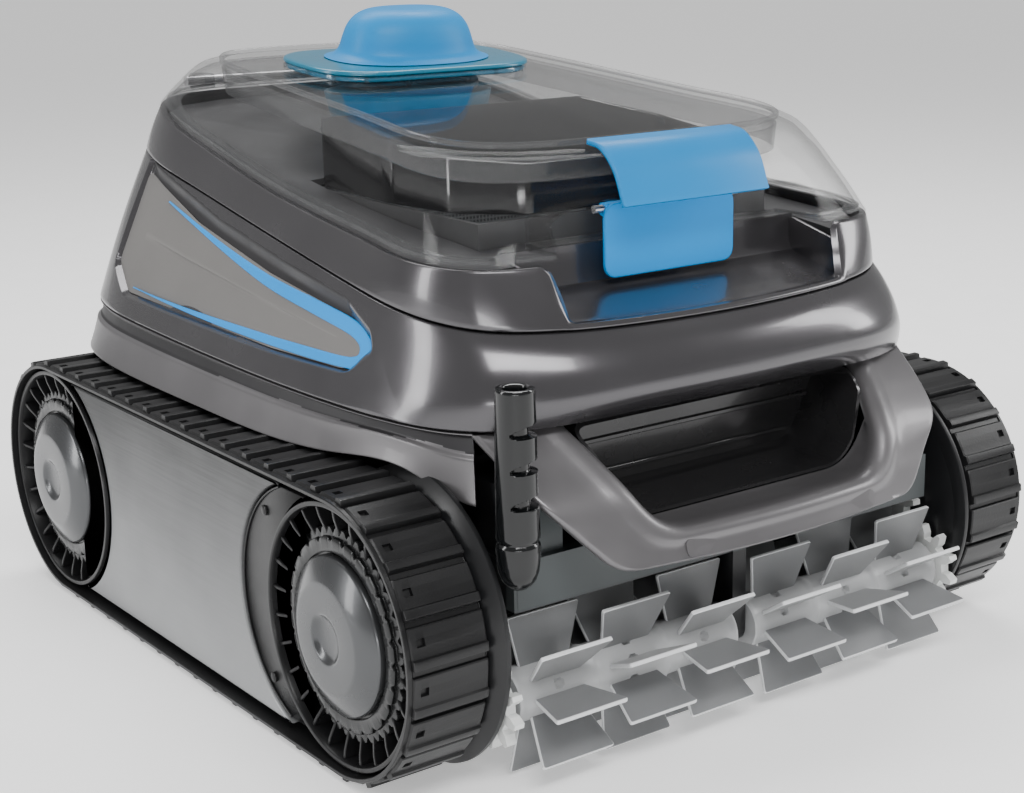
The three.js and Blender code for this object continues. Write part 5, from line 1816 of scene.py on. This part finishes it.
# ---------------------------------------------------------------- brushes
@dataclass
class Brush:
    """One roller of the twin brush: a core with staggered columns of soft blades."""

    side: Side
    columns: tuple = (25, 66, 107)
    around: int = 8
    root_half: float = 13.0
    tip_half: float = 19.0
    root: float = 11.0
    tip: float = 35.3
    edge_area: float = 120e-6

    def blades(self) -> Surface:
        """Every blade: a trapezoid with rounded corners, wider at its tip.

        Returns:
            All the blades of the roller, at +X.
        """
        outline = rounded([(-self.root_half, self.root), (self.root_half, self.root),
                           (self.tip_half, self.tip),
                           (-self.tip_half, self.tip)], 1.6, 3)
        blade = prism(outline, Axis.Y, -0.95, 0.95, 0.35)
        parts = []
        for column, x in enumerate(self.columns):
            for i in range(self.around):
                turn = TAU * (i + column / 2 + (0.3 if self.side is Side.RIGHT else 0)) / self.around
                parts.append(blade.turned(turn).moved(x, *BRUSH_AXIS[1:]))
        return joined(parts)

    def core(self) -> Surface:
        """The core: a tube with a collar between the columns, and sockets sunk along it.

        Returns:
            The core and its two stubs, at +X.
        """
        x = np.linspace(5.4, 128.2, 124)
        angle = np.linspace(0, TAU, 96, endpoint=False)
        collar = 0.7 * sum(np.exp(-(((x - at) / 1.6) ** 2)) for at in (6.5, 45.5, 86.5, 127))
        radius = np.broadcast_to(12.2 + collar[:, None], (len(x), len(angle))).copy()
        for at in self.columns:
            for i in range(self.around):
                away = (angle - TAU * (i + 0.5) / self.around + math.pi) % TAU - math.pi
                far = np.hypot(x[:, None] - at, 12 * away[None])
                radius -= 2.0 * (1 - smoothstep(far, 1.6, 2.4))
        rings = placed(radius[..., None] * np.stack([np.cos(angle), np.sin(angle)], axis=-1), x[:, None],
                       Axis.X)
        stub = revolved([(0, 128.1), (3.9, 128.1), (3.9, 144.8), (0, 144.8)], Axis.X, (0, 0, 0), 32)
        inner = revolved([(0, 0.7), (3.9, 0.7), (3.9, 5.6), (0, 5.6)], Axis.X, (0, 0, 0), 32)
        return joined([closed_stack(rings), stub, inner]).moved(0, *BRUSH_AXIS[1:])

    def build(self) -> None:
        """Makes the roller's two pieces."""
        word = self.side.word
        piece = build(f"brush_blades_{word}", self.blades().on(self.side), Finishes.blade, f"brush_{word}",
                      [f"brush_roller_{word}"])
        areas = np.zeros(len(piece.data.polygons))
        piece.data.polygons.foreach_get("area", areas)
        second_finish(piece, Finishes.blade_edge, lambda _: areas < self.edge_area)
        build(f"brush_core_{word}", self.core().on(self.side), Finishes.core, f"brush_{word}")


@dataclass(frozen=True)
class Inside:
    """The CAD nodes that keep their own shape, mostly hidden, and only take a finish."""

    finishes: tuple = (
        ("chassis_tub", Finishes.tub), ("motor_block", Finishes.black), ("propeller", Finishes.black),
        ("pump_shaft", Finishes.steel), ("hinge_pin", Finishes.steel), ("latch_pin", Finishes.steel),
        ("propeller_guard", Finishes.black), ("filter_basket", Finishes.basket),
        ("filter_screen", Finishes.screen), ("inner_deck", Finishes.deck),
    )
    both_sides: tuple = (
        ("stub_axle", Finishes.steel), ("drive_shaft", Finishes.steel), ("shaft_seal", Finishes.seal),
        ("wheel_gear", Finishes.gear), ("brush_gear", Finishes.gear), ("brush_bush", Finishes.gear),
    )

    def build(self) -> None:
        """Dresses the nodes."""
        for node, finish in self.finishes:
            dress_node(node, finish)
        for stem, finish in self.both_sides:
            for side in Side:
                dress_node(f"{stem}_{side.word}", finish)


# ---------------------------------------------------------------- studio
@dataclass
class SoftBox:
    """A rectangular area light that points at a target."""

    name: str
    place: tuple[float, float, float]
    target: tuple[float, float, float]
    size: tuple[float, float]
    power: float

    def build(self) -> None:
        """Hangs the light."""
        lamp = bpy.data.lights.new(self.name, "AREA")
        lamp.shape = "RECTANGLE"
        lamp.size, lamp.size_y = self.size
        lamp.energy = self.power
        light = bpy.data.objects.new(self.name, lamp)
        light.matrix_world = looking(self.place, np.subtract(self.target, self.place))
        bpy.context.scene.collection.objects.link(light)


def looking(place: Sequence[float], ahead: Sequence[float], roll: float = 0.0) -> Matrix:
    """The world matrix of something at a place that looks ahead, rolled about its line of sight."""
    turn = Vector(ahead).to_track_quat("-Z", "Y").to_matrix().to_4x4()
    return Matrix.Translation(Vector(place)) @ turn @ Matrix.Rotation(roll, 4, "Z")


@dataclass
class Studio:
    """A pale sweep of floor, soft boxes that leave long highlights, a near-white world and the camera."""

    eye: tuple[float, float, float] = (-0.54305, -0.78267, 0.36359)
    yaw: float = 0.681
    pitch: float = 0.264
    roll: float = -0.004
    lens: float = 65.38
    sensor: float = 36
    shift: tuple[float, float] = (-0.1233, 0.0073)
    floor_glow: float = 0.45
    world_strength: float = 0.42

    lights: tuple = (
        SoftBox("key_box", (-0.35, -1.0, 1.25), (0, 0, 0.1), (1.1, 0.35), 16),
        SoftBox("side_box", (-1.6, 0.5, 0.75), (0, 0, 0.12), (0.3, 1.3), 14),
        SoftBox("top_box", (0.3, 0.7, 1.5), (0, 0, 0.1), (1.6, 0.5), 22),
        SoftBox("right_box", (1.5, -0.7, 0.8), (0, -0.1, 0.12), (0.35, 1.0), 12),
        SoftBox("floor_box", (-1.0, -1.5, 0.2), (0, 0, 0.06), (0.9, 0.16), 5),
    )

    def floor(self) -> None:
        """Lays the floor under the cleaner: pale paper that glows a little, so that shadows stay soft."""
        mesh = bpy.data.meshes.new("studio_floor")
        corners = np.array([[-9, -7, 0], [9, -7, 0], [9, 11, 0], [-9, 11, 0]]) + (0, 0, CAD_BOX[0][2])
        mesh.from_pydata(corners, [], [[0, 1, 2, 3]])
        paper = Finish("studio_paper", "floor", (0.9, 0.9, 0.9), 0.85, mottle=0.01, grain=0.05, edge=0.0)
        material = paper.material()
        glow = material.node_tree.nodes["Principled BSDF"]
        glow.inputs["Emission Color"].default_value = (1, 1, 1, 1)
        glow.inputs["Emission Strength"].default_value = self.floor_glow
        mesh.materials.append(material)
        floor = bpy.data.objects.new("studio_floor", mesh)
        bpy.context.scene.collection.objects.link(floor)

    def surroundings(self) -> None:
        """Sets the even white world."""
        world = bpy.data.worlds.new("studio")
        world.use_nodes = True
        background = world.node_tree.nodes["Background"]
        background.inputs["Color"].default_value = (1.0, 1.0, 1.0, 1)
        background.inputs["Strength"].default_value = self.world_strength
        bpy.context.scene.world = world

    def camera(self) -> None:
        """Stands the camera at its eye, looking along its yaw and pitch."""
        data = bpy.data.cameras.new("studio_camera")
        data.lens, data.sensor_width = self.lens, self.sensor
        data.shift_x, data.shift_y = self.shift
        camera = bpy.data.objects.new("studio_camera", data)
        level = math.cos(self.pitch)
        ahead = (math.sin(self.yaw) * level, math.cos(self.yaw) * level, -math.sin(self.pitch))
        camera.matrix_world = looking(self.eye, ahead, self.roll)
        bpy.context.scene.collection.objects.link(camera)
        bpy.context.scene.camera = camera

    def build(self) -> None:
        """Lays the floor, hangs the lights, and sets the world and the camera."""
        self.floor()
        for light in self.lights:
            light.build()
        self.surroundings()
        self.camera()


def main() -> None:
    """Builds the cleaner's sub-assemblies in order, then the studio."""
    logging.basicConfig(level=logging.INFO, format="%(message)s")
    sides = [part(side) for side in Side for part in (Track, Brush)]
    for part in (BodyShells(), FrontPanel(), Lid(), *sides, Inside(), Studio()):
        part.build()


if __name__ == "__main__":
    main()
